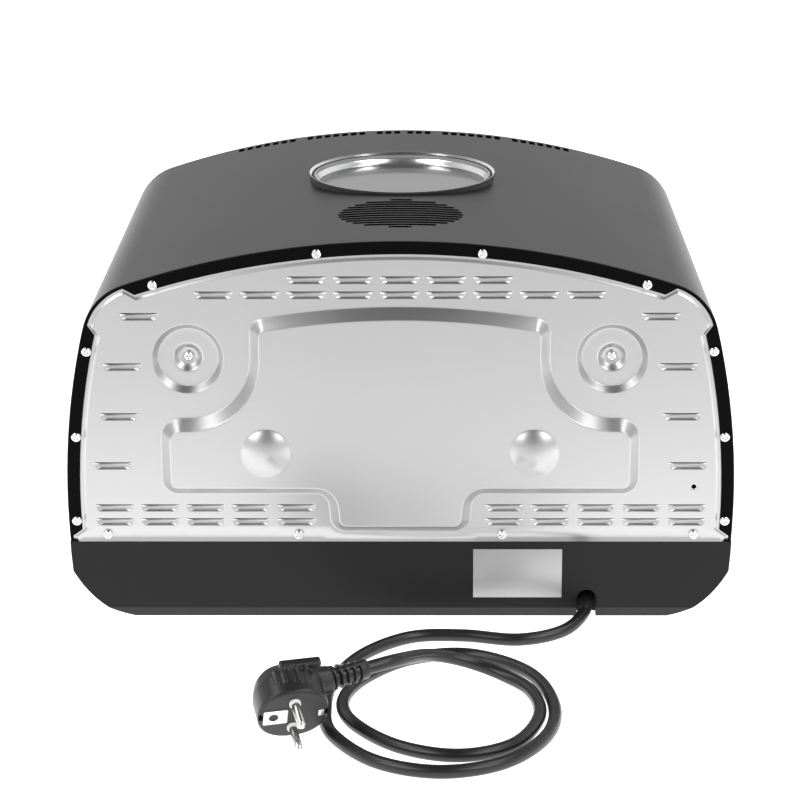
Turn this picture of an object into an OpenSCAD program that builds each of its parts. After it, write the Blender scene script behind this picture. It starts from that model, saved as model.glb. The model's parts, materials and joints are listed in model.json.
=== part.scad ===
// Electric pizza maker: arched steel housing on a moulded base, drop-down door,
// round window in the roof, pressed rear panel and a coiled mains cord.
// Millimetres, +Z up, rear at +Y, standing on its rubber feet at Z = 0.

/* [Overall] */
// Width across the widest part of the roof cover
body_w = 410; // [342:1:492]
// Height of the housing above its feet
body_h = 240; // [216:1:288]
// Depth of the roof cover from its front edge to its rear edge
roof_d = 325; // [271:1:390]
// Height of the rubber feet
foot_h = 4; // [3:0.5:8]

/* [Housing shape] */
// Radius of the roof's shallow arc
roof_r = 525; // [450:5:700]
// Radius of the bulging sides
side_r = 456; // [400:4:600]
// Height of the widest point above the floor
belly_z = 80; // [70:1:95]
// Radius between the roof and a side
shoulder_r = 38; // [34:1:45]
// Radius of the base's lower corners
base_corner_r = 33; // [20:1:40]
// Height of the seam between the base and the roof cover
seam_z = 52.7; // [48:0.1:58]
// How far the base stands in from the roof cover's outline
base_inset = 0.6; // [0.2:0.1:1.2]
// Chamfer round the front and rear faces of the base
base_chamfer = 5; // [2:0.5:8]

/* [Sheet and walls] */
// Thickness of the painted roof sheet
roof_t = 1; // [0.6:0.1:1.5]
// Thickness of the pressed rear panel
panel_t = 1; // [0.6:0.1:1.5]
// Thickness of the oven liner sheets
liner_t = 0.8; // [0.6:0.1:1.5]
// Wall of the moulded base
tub_t = 2.5; // [2:0.1:4]
// Width of the folded flange at the rear edge of the roof
flange_w = 8; // [6:0.5:12]
// Width of the folded flange at the front edge of the roof
front_flange_w = 6; // [4:0.5:10]
// Gap between sheets that lie beside each other
sheet_gap = 0.3; // [0.3:0.1:0.6]

/* [Rear panel] */
// Width of the low border strip beside the flange
border_w = 3.2; // [2:0.2:6]
// Height of the raised plateau above the panel field
plateau_rise = 8; // [4:0.5:10]
// Width of the plateau's sloping wall
plateau_wall = 6.5; // [4:0.5:8]
// Gap between a dish and the plateau
dish_gap = 15; // [10:1:20]
// Radius of a pressed dish
dish_r = 22.5; // [18:0.5:26]
// Depth of a pressed dish
dish_depth = 4; // [2:0.5:5]
// Radius of a dome on the plateau
dome_r = 15; // [10:0.5:18]
// Height of a dome on the plateau
dome_rise = 5; // [3:0.5:7]
// Length of a louvre
louvre_l = 23.5; // [18:0.5:26]
// Height of a louvre
louvre_h = 4.6; // [3:0.2:5]
// Distance between louvres in a row
louvre_pitch = 28; // [27:0.5:34]

/* [Roof window and vents] */
// Outer diameter of the window's bezel
bezel_d = 123; // [100:1:126]
// Distance from the rear edge to the window's centre
window_back = 182; // [150:1:190]
// Diameter of the round field of roof slots
grille_d = 76; // [50:1:80]
// Distance from the rear edge to the centre of the roof slots
grille_back = 72; // [60:1:76]
// Width of a roof slot
grille_slot = 5.2; // [3:0.2:5.6]

/* [Oven cavity] */
// Space between the housing's outline and the oven liner
liner_inset = 30; // [26:1:36]
// Height of the cavity floor above the deck
floor_gap = 6.5; // [5:0.5:12]
// Space behind the cavity
rear_gap = 18; // [14:1:24]
// Thickness of the pizza stone
stone_t = 10; // [8:1:16]
// Diameter of the heating rods
rod_d = 7; // [6:0.5:8]

/* [Door and handle] */
// Thickness of the door
door_t = 18; // [15:1:20]
// How far the door's edge stands in from the housing's outline
door_inset = 10; // [8:1:14]
// Diameter of the handle bar
handle_d = 13; // [10:1:16]
// Distance between the handle posts
handle_span = 150; // [110:5:200]
// How far the handle reaches out from the door
handle_reach = 36.5; // [30:0.5:45]
// Width of a hinge knuckle
knuckle_w = 18; // [12:1:24]
// Diameter of a hinge pin
pin_d = 5; // [4:0.5:6]

/* [Controls] */
// Distance between the two knobs
knob_span = 150; // [100:5:200]
// Diameter of a knob
knob_d = 34; // [26:1:36]
// Height of a knob
knob_h = 16; // [12:1:20]
// Diameter of a knob's shaft
shaft_d = 6; // [5:0.5:8]

/* [Mains cord] */
// Diameter of the mains cord
cord_d = 7.8; // [7:0.2:9]
// Distance from the centre to the cord's outlet
outlet_x = 115.7; // [90:1:125]

/* [Hidden] */
$fn = 96;
arc_fn = 720;
eps = 0.01;
run_gap = 0.05;

// Heights and depths worked out from the driving sizes
top_z = foot_h + body_h;
door_gap = 0.5;
rear_reach = plateau_rise + dome_rise;
total_d = roof_d + rear_reach + door_gap + door_t + handle_reach;
rear_y = total_d / 2 - rear_reach;
front_y = rear_y - roof_d;

// Centres of the arcs in the housing's outline
roof_c = [0, top_z - roof_r];
side_c = [body_w / 2 - side_r, belly_z];
function meet_right(c1, r1, c2, r2) =
    let (v = c2 - c1, d = norm(v), a = (r1 * r1 - r2 * r2 + d * d) / (2 * d))
    let (h = sqrt(r1 * r1 - a * a), u = v / d)
    c1 + a * u + h * [-u.y, u.x] * (u.y > 0 ? -1 : 1);
shoulder_c = meet_right(side_c, side_r - shoulder_r, roof_c, roof_r - shoulder_r);
corner_z = foot_h + base_corner_r;
corner_c = [
    side_c.x + sqrt(pow(side_r - base_corner_r, 2) - pow(corner_z - side_c.y, 2)), corner_z
];
function unit(v) = v / norm(v);
// Half width of the housing at height z, on its side arc
function side_x(z, inset = 0) = side_c.x + sqrt(pow(side_r - inset, 2) - pow(z - side_c.y, 2));
// Height of the roof's arc at distance x from the middle
function roof_z(x, inset = 0) = roof_c.y + sqrt(pow(roof_r - inset, 2) - x * x);

// Deck, oven liner and stone
deck_t = 1;
deck_top = seam_z + deck_t;
floor_z = deck_top + floor_gap;
liner_rear_y = rear_y - rear_gap;
frame_t = 1.2;
frame_y = front_y + roof_t;
liner_front_y = frame_y + frame_t;
liner_d = liner_rear_y - liner_front_y;
liner_half = side_x(belly_z, liner_inset + liner_t);
stone_gap = 2;
stone_d = min(liner_d, 2 * liner_half) - 2 * stone_gap;
stone_y = (liner_rear_y + liner_front_y) / 2;
lower_rod_z = floor_z + liner_t + 8;
stand_d = 4;
stand_r = stone_d * 0.4;
stone_z = lower_rod_z + rod_d / 2 + 2 + stand_d;
upper_rod_z = roof_z(0, liner_inset) - 18;

// Rear panel levels and places
panel_y = rear_y - roof_t;
field_y = rear_y;
plateau_y = field_y + plateau_rise;
dish_z = top_z - 73.2;
dish_x = side_x(dish_z) - 67.5;
cup_r = 9;
cup_floor_r = 6;
cup_depth = 3.5;
neck_x = dish_x - dish_r - dish_gap;
ear_top = dish_z - dish_r - dish_gap;
ear_x = body_w / 2 - 59;
ear_bottom = min(seam_z + 31.7, ear_top - 27);
tab_x = 42.5;
tab_bottom = seam_z + 7;
plateau_top_r = roof_r - 40;
plateau_top = top_z - 35.8;
dome_x = 81.6;
dome_z = seam_z + 60.6;
louvre_depth = 2.8;
louvre_first = 63.9;
side_louvre_in = 30;
screw_in = 5.2;
screw_head_r = 3.3;
screw_head_h = 2;
screw_r = 1.7;
screw_l = 8;

// Roof window
window_y = rear_y - window_back;
lip_t = 1.4;
lip_gap = 0.5;
bezel_top = top_z + lip_gap + lip_t;
bezel_lip = 6;
bezel_r = bezel_d / 2;
bezel_in = bezel_r - bezel_lip;
bezel_wall = 1.5;
glass_t = 4;
glass_drop = 7.5;
glass_z = bezel_top - glass_drop - glass_t;
collar_in = bezel_in + bezel_wall + sheet_gap;
collar_bottom = roof_z(bezel_r, liner_inset) - 5;
roof_hole_r = collar_in + liner_t + 1.9;

// Door and hinge, with the hinge axis low and near the door's back
door_back = front_y - door_gap;
door_front = door_back - door_t;
hinge_r = 5.5;
door_z0 = seam_z + 5.3;
hinge_y = door_back - hinge_r;
hinge_z = door_z0 + hinge_r;
hinge_x = body_w / 2 - 55;
knuckle_gap = 0.5;
opening_inset = 30;
opening_z0 = floor_z + 6;
door_win_inset = 62;
door_win_z0 = door_z0 + 38;
door_win_z1 = top_z - 62;
door_win_x = side_x(door_win_z0, door_win_inset);
door_win_half = [[door_win_x - 8, door_win_z1 - 17, 18], [door_win_x, door_win_z0, 16]];
door_win_corners = concat([[0, door_win_z1, 780]], door_win_half, mirrored(door_win_half));
door_skin = 1.2;
handle_z = top_z - 36;
handle_y = door_front - handle_reach + handle_d / 2;
post_d = 11;

// Control panel and knobs on the front of the base
control_t = 1.5;
control_recess = 1;
control_x = body_w / 2 - 50;
control_z0 = foot_h + base_chamfer + 2;
control_z1 = seam_z - base_chamfer + 1;
control_face = front_y + control_recess - control_t;
knob_z = foot_h + 23;
knob_x = knob_span / 2;
knob_gap = 0.8;
knob_back = control_face - knob_gap;
bush_d = 10;
shaft_in = 14;
lamp_d = 9;
lamp_x = 14;

// Base interior
cover_t = 1;
cover_x = body_w / 2 - base_corner_r - 8;
cover_y0 = front_y + 16;
cover_y1 = rear_y - 16;
post_r = 5;
post_x = cover_x - 12;
foot_r = 11;
foot_x = cover_x - 34;
foot_y0 = cover_y0 + 26;
foot_y1 = cover_y1 - 26;

// Cord outlet, cord route and plug
notch_r = 6;
notch_z = foot_h + 11;
clamp_y = rear_y - 12.5;
cord_r = cord_d / 2;
cord_sides = 8;
cord_bed = 4.2;
cord_steps = 2;
cord_way = [
    [-113.5, 192.5, 9.5], [-99.5, 212.5, 5.5], [-72, 223, cord_bed], [-38, 216.5, cord_bed],
    [-6, 219.5, cord_bed], [22, 246, cord_bed], [38, 284, cord_bed], [42, 322, cord_bed],
    [37, 358, cord_bed], [12, 393, cord_bed], [-24, 406, cord_bed], [-60, 393, cord_bed],
    [-84, 358, cord_bed], [-89, 316, cord_bed], [-76, 272, cord_bed], [-42, 246, cord_bed],
    [-6, 253, cord_bed], [21, 282, cord_bed], [32, 314, cord_bed], [25, 344, cord_bed],
    [-0.5, 374, cord_bed], [-34, 385.5, cord_bed], [-64.5, 371, cord_bed], [-80, 334.5, cord_bed],
    [-77, 300, cord_bed], [-61, 280, 6], [-39.5, 274, 12], [-19, 283.5, 20], [-0.5, 312, 29.5]
];
plug_at = [58, 363, 18.5];
plug_tilt = 23;
plug_turn = 15.7;
plug_lean = 12;
plug_back = 18;
sleeve_start = 25;
sleeve_end = 50;
plug_r = 19.5;
plug_pin_d = 4.8;
plug_pin_l = 19;
plug_pin_gap = 19;
function about_x(p, a) = [p.x, p.y * cos(a) - p.z * sin(a), p.y * sin(a) + p.z * cos(a)];
function about_z(p, a) = [p.x * cos(a) - p.y * sin(a), p.x * sin(a) + p.y * cos(a), p.z];
function on_cable(s) = plug_at + about_z(
    about_x([0, -plug_back, 0] + about_z([-s, 0, 0], plug_lean), -plug_tilt), plug_turn
);
cord_route = concat([[-outlet_x, clamp_y, 13]], cord_way, [on_cable(sleeve_end)]);

// Shared shapes

module both_sides() {
    children();
    mirror([1, 0, 0]) children();
}

module along_y(y0, y1) {
    translate([0, y1, 0]) rotate([90, 0, 0]) linear_extrude(y1 - y0) children();
}

module facing_back(x, y, z) {
    translate([x, y, z]) rotate([-90, 0, 0]) children();
}

module corner_wedge(c, u1, u2, reach) {
    polygon([c, c + reach * u1, c + reach * (u1 + u2), c + reach * u2]);
}

module shoulder_wedge() {
    corner_wedge(shoulder_c, unit(shoulder_c - roof_c), unit(shoulder_c - side_c), 2 * shoulder_r);
}

module base_wedge() {
    corner_wedge(corner_c, unit(corner_c - side_c), [0, -1], 2 * base_corner_r);
}

// The housing's outline, seen from the front, moved in by d
module housing_2d(d = 0) {
    difference() {
        intersection() {
            translate(roof_c) circle(roof_r - d, $fn = arc_fn);
            translate(side_c) circle(side_r - d, $fn = arc_fn);
            mirror([1, 0, 0]) translate(side_c) circle(side_r - d, $fn = arc_fn);
            translate([-body_w, foot_h + d]) square([2 * body_w, 2 * body_h]);
        }
        both_sides() {
            shoulder_wedge();
            if (d < base_corner_r) base_wedge();
        }
    }
    both_sides() {
        intersection() {
            translate(shoulder_c) circle(shoulder_r - d);
            shoulder_wedge();
        }
        if (d < base_corner_r) intersection() {
            translate(corner_c) circle(base_corner_r - d);
            base_wedge();
        }
    }
}

// The part of the outline above height z
module arch_2d(d, z) {
    intersection() {
        housing_2d(d);
        translate([-body_w, z]) square([2 * body_w, 2 * body_h]);
    }
}

// A clockwise polygon, moved in by d, whose corners are rounded: [x, y, radius]
function corner_arc(p, q, r, n, d) =
    let (u = unit([p.x - q.x, p.y - q.y]), v = unit([r.x - q.x, r.y - q.y]))
    let (half = acos(u * v) / 2, mid = unit(u + v), c = [q.x, q.y] + mid * q.z / sin(half))
    let (turn = u.x * v.y - u.y * v.x > 0 ? 1 : -1, sweep = 180 - 2 * half)
    let (a0 = atan2(-mid.y, -mid.x) + turn * sweep / 2, radius = q.z - turn * d)
    [for (i = [0:n]) let (a = a0 - turn * sweep * i / n) c + radius * [cos(a), sin(a)]];
function rounded(pts, n = 6, d = 0) = [
    for (i = [0:len(pts) - 1])
        each corner_arc(pts[(i + len(pts) - 1) % len(pts)], pts[i], pts[(i + 1) % len(pts)], n, d)
];

// A pan-head screw pointing along -Y from its seat
module screw_in_panel(x, y, z) {
    facing_back(x, y, z) {
        cylinder(h = screw_head_h, r1 = screw_head_r, r2 = screw_head_r * 0.72);
        translate([0, 0, -screw_l]) cylinder(h = screw_l, r = screw_r);
    }
}

// Places of the screws in the roof's rear flange, on the right-hand side
function on_roof_arc(x) = [x, roof_z(x, screw_in)];
function on_side_arc(z) = [side_x(z, screw_in), z];
flange_screw_at = [
    on_roof_arc(49.6), on_roof_arc(side_x(belly_z) - 56.7),
    on_side_arc(top_z - 68.5), on_side_arc((top_z - 68.5 + seam_z + 14) / 2),
    on_side_arc(seam_z + 14)
];
lower_screw_z = seam_z + 5;
lower_screw_at = [[62.7, lower_screw_z], [side_x(seam_z) - 23.5, lower_screw_z]];

// Base

module base_outline(d) {
    intersection() {
        housing_2d(base_inset + d);
        translate([-body_w, 0]) square([2 * body_w, seam_z]);
    }
}

module base_block(d) {
    hull() {
        along_y(front_y + base_chamfer + d, rear_y - base_chamfer - d) base_outline(d, $fn = 48);
        along_y(front_y + d, rear_y - d) offset(delta = -base_chamfer) base_outline(d, $fn = 48);
        along_y(front_y + d, rear_y - d)
            translate([d + base_chamfer - body_w / 2 + 1, seam_z - base_chamfer - 1])
            square([body_w - 2 * (d + base_chamfer + 1), base_chamfer + 1]);
    }
}

module base_tub() color("#303030") {
    difference() {
        base_block(0);
        difference() {
            base_block(tub_t);
            both_sides() for (y = [cover_y0 + 4, cover_y1 - 4])
                translate([post_x, y, 0]) cylinder(h = seam_z, r = post_r);
        }
        translate([-body_w, front_y - 1, seam_z - eps]) cube([2 * body_w, roof_d + 2, body_h]);
        translate([-cover_x, cover_y0, 0]) cube([2 * cover_x, cover_y1 - cover_y0, foot_h + cover_t]);
        translate([4 - cover_x, cover_y0 + 12, 0])
            cube([2 * cover_x - 8, cover_y1 - cover_y0 - 24, foot_h + 2 * tub_t]);
        outlet_notch();
        control_cutouts();
        both_sides() for (y = [cover_y0 + 4, cover_y1 - 4])
            translate([post_x, y, 0]) cylinder(h = 20, r = screw_r + 0.1);
    }
}

module outlet_notch() {
    facing_back(-outlet_x, clamp_y, notch_z) cylinder(h = 14, r = notch_r);
    translate([-outlet_x - notch_r, clamp_y, 0]) cube([2 * notch_r, 14, notch_z]);
}

module control_cutouts() {
    translate([-control_x, front_y - 1, control_z0])
        cube([2 * control_x, 1 + control_recess, control_z1 - control_z0]);
    both_sides() facing_back(knob_x, front_y - 1, knob_z) cylinder(h = 8, r = bush_d / 2 + 0.2);
    both_sides() facing_back(lamp_x, front_y - 1, knob_z) cylinder(h = 8, r = lamp_d / 2 + 0.2);
}

module bottom_cover() color("#b8bcc0") {
    difference() {
        translate([sheet_gap - cover_x, cover_y0 + sheet_gap, foot_h])
            cube([2 * (cover_x - sheet_gap), cover_y1 - cover_y0 - 2 * sheet_gap, cover_t]);
        both_sides() {
            for (y = [cover_y0 + 4, cover_y1 - 4])
                translate([post_x, y, 0]) cylinder(h = 10, r = screw_r + 0.1);
            for (y = [foot_y0, foot_y1]) translate([foot_x, y, 0]) cylinder(h = 10, r = 2);
            for (i = [0:7]) translate([22 + i * 9, -20, 0]) cube([4, 40, 10]);
        }
    }
}

module bottom_screws() color("silver") {
    both_sides() for (y = [cover_y0 + 4, cover_y1 - 4])
        translate([post_x, y, foot_h]) rotate([180, 0, 0]) {
            cylinder(h = screw_head_h, r1 = screw_head_r, r2 = screw_head_r * 0.72);
            translate([0, 0, -12]) cylinder(h = 12, r = screw_r);
        }
}

module rubber_feet() color("#181818") {
    both_sides() for (y = [foot_y0, foot_y1]) translate([foot_x, y, 0]) {
        cylinder(h = foot_h, r1 = foot_r - 1, r2 = foot_r);
        translate([0, 0, foot_h]) cylinder(h = cover_t + 2, r = 1.9);
        translate([0, 0, foot_h + cover_t]) cylinder(h = 2, r1 = 3.6, r2 = 2.4);
    }
}

// Steel deck that closes the base, with an upturned edge behind
module base_deck() color("#c4c8cc") {
    deck_x = side_x(seam_z, base_inset + tub_t / 2 + 0.5);
    y0 = liner_front_y + sheet_gap;
    y1 = panel_y - panel_t - sheet_gap;
    difference() {
        union() {
            translate([-deck_x, y0, seam_z]) cube([2 * deck_x, y1 - y0, deck_t]);
            translate([-deck_x + 8, y1 - deck_t, seam_z]) cube([2 * deck_x - 16, deck_t, 11]);
        }
        both_sides() for (p = lower_screw_at)
            facing_back(p.x, y1 - 4, p.y) cylinder(h = 8, r = screw_r + 0.1);
        translate([0, stone_y - 40, 0]) cylinder(h = 100, r = 5);
    }
}

module control_panel() color("#202020") {
    difference() {
        translate([sheet_gap - control_x, control_face, control_z0 + sheet_gap])
            cube([2 * (control_x - sheet_gap), control_t, control_z1 - control_z0 - 2 * sheet_gap]);
        both_sides() {
            facing_back(knob_x, front_y - 4, knob_z) cylinder(h = 8, r = bush_d / 2 + 0.2);
            facing_back(lamp_x, front_y - 4, knob_z) cylinder(h = 8, r = lamp_d / 2 + 0.2);
        }
    }
}

// A knob with a skirt and a grip bar, centred on its shaft and facing -Y
module knob() {
    rotate([90, 0, 0]) difference() {
        union() {
            cylinder(h = 4, r = knob_d / 2);
            translate([0, 0, 4]) cylinder(h = 3, r1 = knob_d / 2, r2 = knob_d / 2 - 3);
            intersection() {
                cylinder(h = knob_h, r = knob_d / 2 - 2);
                translate([-4, -knob_d / 2, 0]) cube([8, knob_d, knob_h]);
            }
        }
        translate([0, 0, -1]) cylinder(h = knob_h - 3, r = shaft_d / 2);
    }
}

module knob_shaft() {
    rotate([90, 0, 0]) translate([0, 0, -shaft_in]) cylinder(h = shaft_in + knob_h - 4.2, r = shaft_d / 2);
}

module temperature_knob() color("#1c1c1c") {
    translate([-knob_x, knob_back, knob_z]) knob();
}

module temperature_shaft() color("silver") {
    translate([-knob_x, knob_back, knob_z]) knob_shaft();
}

module timer_knob() color("#1c1c1c") {
    translate([knob_x, knob_back, knob_z]) knob();
}

module timer_shaft() color("silver") {
    translate([knob_x, knob_back, knob_z]) knob_shaft();
}

// A switch body behind the panel, with the bush that carries the shaft
module switch_body(w, h, l) {
    back = front_y + tub_t;
    difference() {
        union() {
            translate([-w / 2, back, -h / 2]) cube([w, l, h]);
            facing_back(0, control_face, 0) cylinder(h = back - control_face + 1, r = bush_d / 2);
        }
        facing_back(0, control_face - 1, 0) cylinder(h = l, r = shaft_d / 2 + run_gap);
    }
}

// The two flat terminals at a switch's back
module switch_tabs(x, l) {
    for (dx = [-8, 5]) translate([x + dx, front_y + tub_t + l, knob_z - 2]) cube([3, 6, 4]);
}

module thermostat() color("#d8d2c0") {
    translate([-knob_x, 0, knob_z]) switch_body(30, 24, 22);
    switch_tabs(-knob_x, 22);
}

// The thermostat's capillary and its bulb in the cavity
module thermostat_probe() color("#b87333") {
    y0 = stone_y - 40;
    z0 = knob_z + 12;
    translate([0, y0, z0]) cylinder(h = floor_z - z0 + 4, r = 1);
    translate([0, y0, z0 + 1]) rotate([0, -90, 0]) cylinder(h = knob_x, r = 1);
    back = front_y + tub_t + 20;
    translate([-knob_x, back, z0 + 1]) rotate([-90, 0, 0]) cylinder(h = y0 - back, r = 1);
    translate([-30, y0, floor_z + 4]) rotate([0, 90, 0]) cylinder(h = 60, r = 2.5);
}

module timer_body() color("#e6e2d8") {
    translate([knob_x, 0, knob_z]) switch_body(36, 28, 26);
    switch_tabs(knob_x, 26);
}

module lamp(x) {
    facing_back(x, control_face - 1, knob_z) {
        cylinder(h = 1, r1 = lamp_d / 2 - 0.5, r2 = lamp_d / 2 + 1);
        cylinder(h = 18, r = lamp_d / 2);
    }
}

module power_lamp() color("#c03020") lamp(-lamp_x);

module heat_lamp() color("#30a040") lamp(lamp_x);

module terminal_block() color("#e8e4d6") {
    z0 = foot_h + cover_t;
    translate([-outlet_x + 8, 90, z0]) difference() {
        cube([36, 18, 16]);
        for (i = [0:2]) translate([6 + i * 12, 9, 6]) cylinder(h = 20, r = 2.4);
    }
}

// Saddle that closes on the cord's end inside its outlet
module cord_clamp() color("#202020") {
    z0 = foot_h + base_inset + tub_t;
    translate([-outlet_x - 9, clamp_y - 14, z0]) cube([18, 14, 14]);
    translate([-outlet_x - 14, clamp_y - 12, z0 + 14]) cube([28, 10, 3]);
}

module wiring_loom() color("#8c3a2c") {
    z0 = foot_h + cover_t + 6;
    y0 = 82;
    translate([-outlet_x, y0 + 3, z0]) rotate([-90, 0, 0]) cylinder(h = clamp_y - 14 - y0 - 3, r = 3);
    translate([-knob_x, front_y + tub_t + 30, z0]) rotate([-90, 0, 0])
        cylinder(h = y0 - front_y - tub_t - 30, r = 2.5);
    translate([knob_x, front_y + tub_t + 34, z0]) rotate([-90, 0, 0])
        cylinder(h = y0 - front_y - tub_t - 34, r = 2.5);
    translate([-outlet_x, y0, z0]) rotate([0, 90, 0]) cylinder(h = outlet_x + knob_x, r = 3);
}

// Housing

// What the flange covers, cut back round the upper corners, and moved in by d
module flange_room_2d(d) {
    k = side_x(top_z - 80);
    difference() {
        arch_2d(2 * roof_t + d, seam_z);
        difference() {
            arch_2d(0, seam_z);
            housing_2d(flange_w + d);
            both_sides() offset(delta = -d) polygon([
                [k - 32, top_z + 2], [k - 40, top_z - 44], [k - 20, top_z - 66],
                [k + 20, top_z - 58], [k + 20, top_z + 2]
            ]);
        }
    }
}

module rear_flange_2d() {
    difference() {
        arch_2d(0, seam_z);
        flange_room_2d(0);
        both_sides() polygon([
            [side_x(seam_z, 5), seam_z - 1], [side_x(seam_z, flange_w + 1), seam_z + 6],
            [side_x(seam_z, 2 * flange_w), seam_z + 6], [side_x(seam_z, 2 * flange_w), seam_z - 1]
        ]);
    }
}

module front_slots() {
    for (first = [4.6, 29.5, 79.3])
        for (i = [0:(first < 10 ? 2 : 6)])
            both_sides() translate([first + 6.2 * i - 2.1, front_y + 5, roof_z(140)])
                cube([4.2, 9, 40]);
}

module grille_slots() {
    pitch = grille_slot + 2.4;
    n = floor((grille_d - grille_slot) / 2 / pitch);
    for (i = [-n:n]) {
        half = sqrt(pow(grille_d / 2, 2) - pow(abs(i) * pitch + grille_slot / 2, 2));
        translate([-half - 1.2, rear_y - grille_back + i * pitch - grille_slot / 2, roof_z(140)])
            cube([2 * half + 2.4, grille_slot, 60]);
    }
}

module roof_cover() color("#3c3c3c") {
    difference() {
        union() {
            along_y(front_y, rear_y) difference() {
                arch_2d(0, seam_z);
                housing_2d(roof_t);
            }
            along_y(rear_y - roof_t, rear_y) rear_flange_2d();
            along_y(front_y, front_y + roof_t) difference() {
                arch_2d(0, seam_z);
                housing_2d(front_flange_w);
            }
        }
        translate([0, window_y, 0]) cylinder(h = 2 * top_z, r = roof_hole_r);
        grille_slots();
        front_slots();
        both_sides() for (p = flange_screw_at)
            facing_back(p.x, rear_y - 3, p.y) cylinder(h = 6, r = screw_r + 0.1);
    }
}

// Rear panel

half_plateau = [
    [neck_x, plateau_top - 12.7, 10], [neck_x, ear_top, dish_r + dish_gap],
    [ear_x, ear_top, 13], [ear_x, ear_bottom, 10],
    [tab_x + 2, ear_bottom, 8], [tab_x, tab_bottom, 10]
];
function mirrored(pts) = [for (i = [len(pts) - 1:-1:0]) [-pts[i].x, pts[i].y, pts[i].z]];
plateau_corners = concat([[0, plateau_top, plateau_top_r]], half_plateau, mirrored(half_plateau));
function plateau_loop(d, y) = [for (p = rounded(plateau_corners, 5, d)) [p.x, y, p.y]];

// The plateau with its sloping wall, from the field's level up by its rise
module plateau_form() {
    low = plateau_loop(0, field_y - panel_t - 1);
    foot = plateau_loop(0, field_y);
    rim = plateau_loop(plateau_wall, plateau_y);
    n = len(foot);
    mid = [0, 0, (ear_top + ear_bottom) / 2];
    walls = [
        for (k = [0, n], i = [0:n - 1]) let (j = (i + 1) % n)
            each [[k + i, k + n + i, k + n + j], [k + i, k + n + j, k + j]]
    ];
    caps = [
        for (i = [0:n - 1]) let (j = (i + 1) % n)
            each [[3 * n, i, j], [3 * n + 1, 2 * n + j, 2 * n + i]]
    ];
    ends = [mid + [0, field_y - panel_t - 1, 0], mid + [0, plateau_y, 0]];
    polyhedron(points = concat(low, foot, rim, ends), faces = concat(walls, caps), convexity = 6);
}

// Everything of the panel that stands out from its field
module panel_relief() {
    plateau_form();
    both_sides() dome_form();
}

module dome_form() {
    ball = (dome_r * dome_r + dome_rise * dome_rise) / (2 * dome_rise);
    intersection() {
        translate([dome_x, plateau_y + dome_rise - ball, dome_z]) sphere(ball);
        facing_back(dome_x, plateau_y - 2, dome_z) cylinder(h = 2 + dome_rise, r = dome_r + 2);
    }
}

// A dish with a deeper cup, revolved about the screw that sits in it
module dish_shell() {
    rotate_extrude() polygon([
        [dish_r, 0], [dish_r - 3.7, -dish_depth], [cup_r, -dish_depth],
        [cup_floor_r, -dish_depth - cup_depth], [screw_r + 0.1, -dish_depth - cup_depth],
        [screw_r + 0.1, -dish_depth - cup_depth - panel_t],
        [cup_floor_r + 0.4, -dish_depth - cup_depth - panel_t], [cup_r + 0.4, -dish_depth - panel_t],
        [dish_r - 3.3, -dish_depth - panel_t], [dish_r, -panel_t], [dish_r + 1, -panel_t], [dish_r + 1, 0]
    ]);
}

// A louvre pressed inwards below a straight slit: a quarter turn of a round-ended
// profile about a line outside the sheet, at the slit's height
module louvre_form(grow) {
    r = louvre_depth / 2 + louvre_h * louvre_h / (2 * louvre_depth);
    half = louvre_l / 2 - louvre_h;
    translate([0, r - louvre_depth, 0]) rotate([0, 90, 0]) rotate([0, 0, -90])
        rotate_extrude(angle = 90) {
            translate([0, -half]) square([r + grow, 2 * half]);
            for (s = [0, 1]) mirror([0, s, 0]) translate([0, half]) intersection() {
                circle(r + grow);
                square(r + grow);
            }
        }
}

function bottom_louvres() = floor((side_x(seam_z) - 25 - louvre_first) / louvre_pitch);
side_z0 = seam_z + 52.1;
side_z1 = top_z - 44.3;
louvre_at = concat(
    [for (i = [-2:2]) [i * louvre_pitch, top_z - 21.6]],
    [for (i = [-4:4]) [i * louvre_pitch, top_z - 30.9]],
    [for (s = [-1, 1], i = [0:3]) let (z = side_z0 + (side_z1 - side_z0) * i / 3)
        [s * (side_x(z) - side_louvre_in), z]],
    [for (s = [-1, 1], z = [24.7, 15.6], i = [0:bottom_louvres()])
        [s * (louvre_first + i * louvre_pitch), seam_z + z]]
);

module border_2d() arch_2d(roof_t + sheet_gap, seam_z + sheet_gap);

module field_2d() {
    intersection() {
        flange_room_2d(border_w);
        translate([-body_w, seam_z + sheet_gap]) square([2 * body_w, 2 * body_h]);
    }
}

module rear_panel() color("#c9cbcc") {
    difference() {
        union() {
            difference() {
                union() {
                    along_y(panel_y - panel_t, panel_y) border_2d();
                    along_y(panel_y - panel_t, field_y) field_2d();
                    panel_relief();
                }
                translate([0, -panel_t, 0]) {
                    along_y(panel_y - panel_t, field_y) offset(delta = -panel_t) field_2d();
                    panel_relief();
                }
                both_sides() facing_back(dish_x, field_y - 9, dish_z) cylinder(h = 20, r = dish_r + 0.5);
            }
            both_sides() facing_back(dish_x, field_y, dish_z) dish_shell();
            intersection() {
                for (p = louvre_at) translate([p.x, field_y, p.y]) louvre_form(panel_t);
                translate([-body_w, field_y - 20, 0]) cube([2 * body_w, 20 - eps, 2 * body_h]);
            }
        }
        for (p = louvre_at) translate([p.x, field_y, p.y]) louvre_form(0);
        both_sides() for (p = concat(flange_screw_at, lower_screw_at))
            facing_back(p.x, rear_y - 6, p.y) cylinder(h = 12, r = screw_r + 0.1);
        // A small spare hole beside the lower louvres
        facing_back(25 - side_x(belly_z), rear_y - 6, seam_z + 36.2) cylinder(h = 12, r = 1.5);
    }
}

module flange_screws() color("silver") {
    both_sides() for (p = flange_screw_at) screw_in_panel(p.x, rear_y, p.y);
}

module lower_screws() color("silver") {
    both_sides() for (p = lower_screw_at) screw_in_panel(p.x, field_y, p.y);
}

module dish_screws() color("silver") {
    both_sides() screw_in_panel(dish_x, field_y - dish_depth - cup_depth, dish_z);
}

// Roof window

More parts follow.
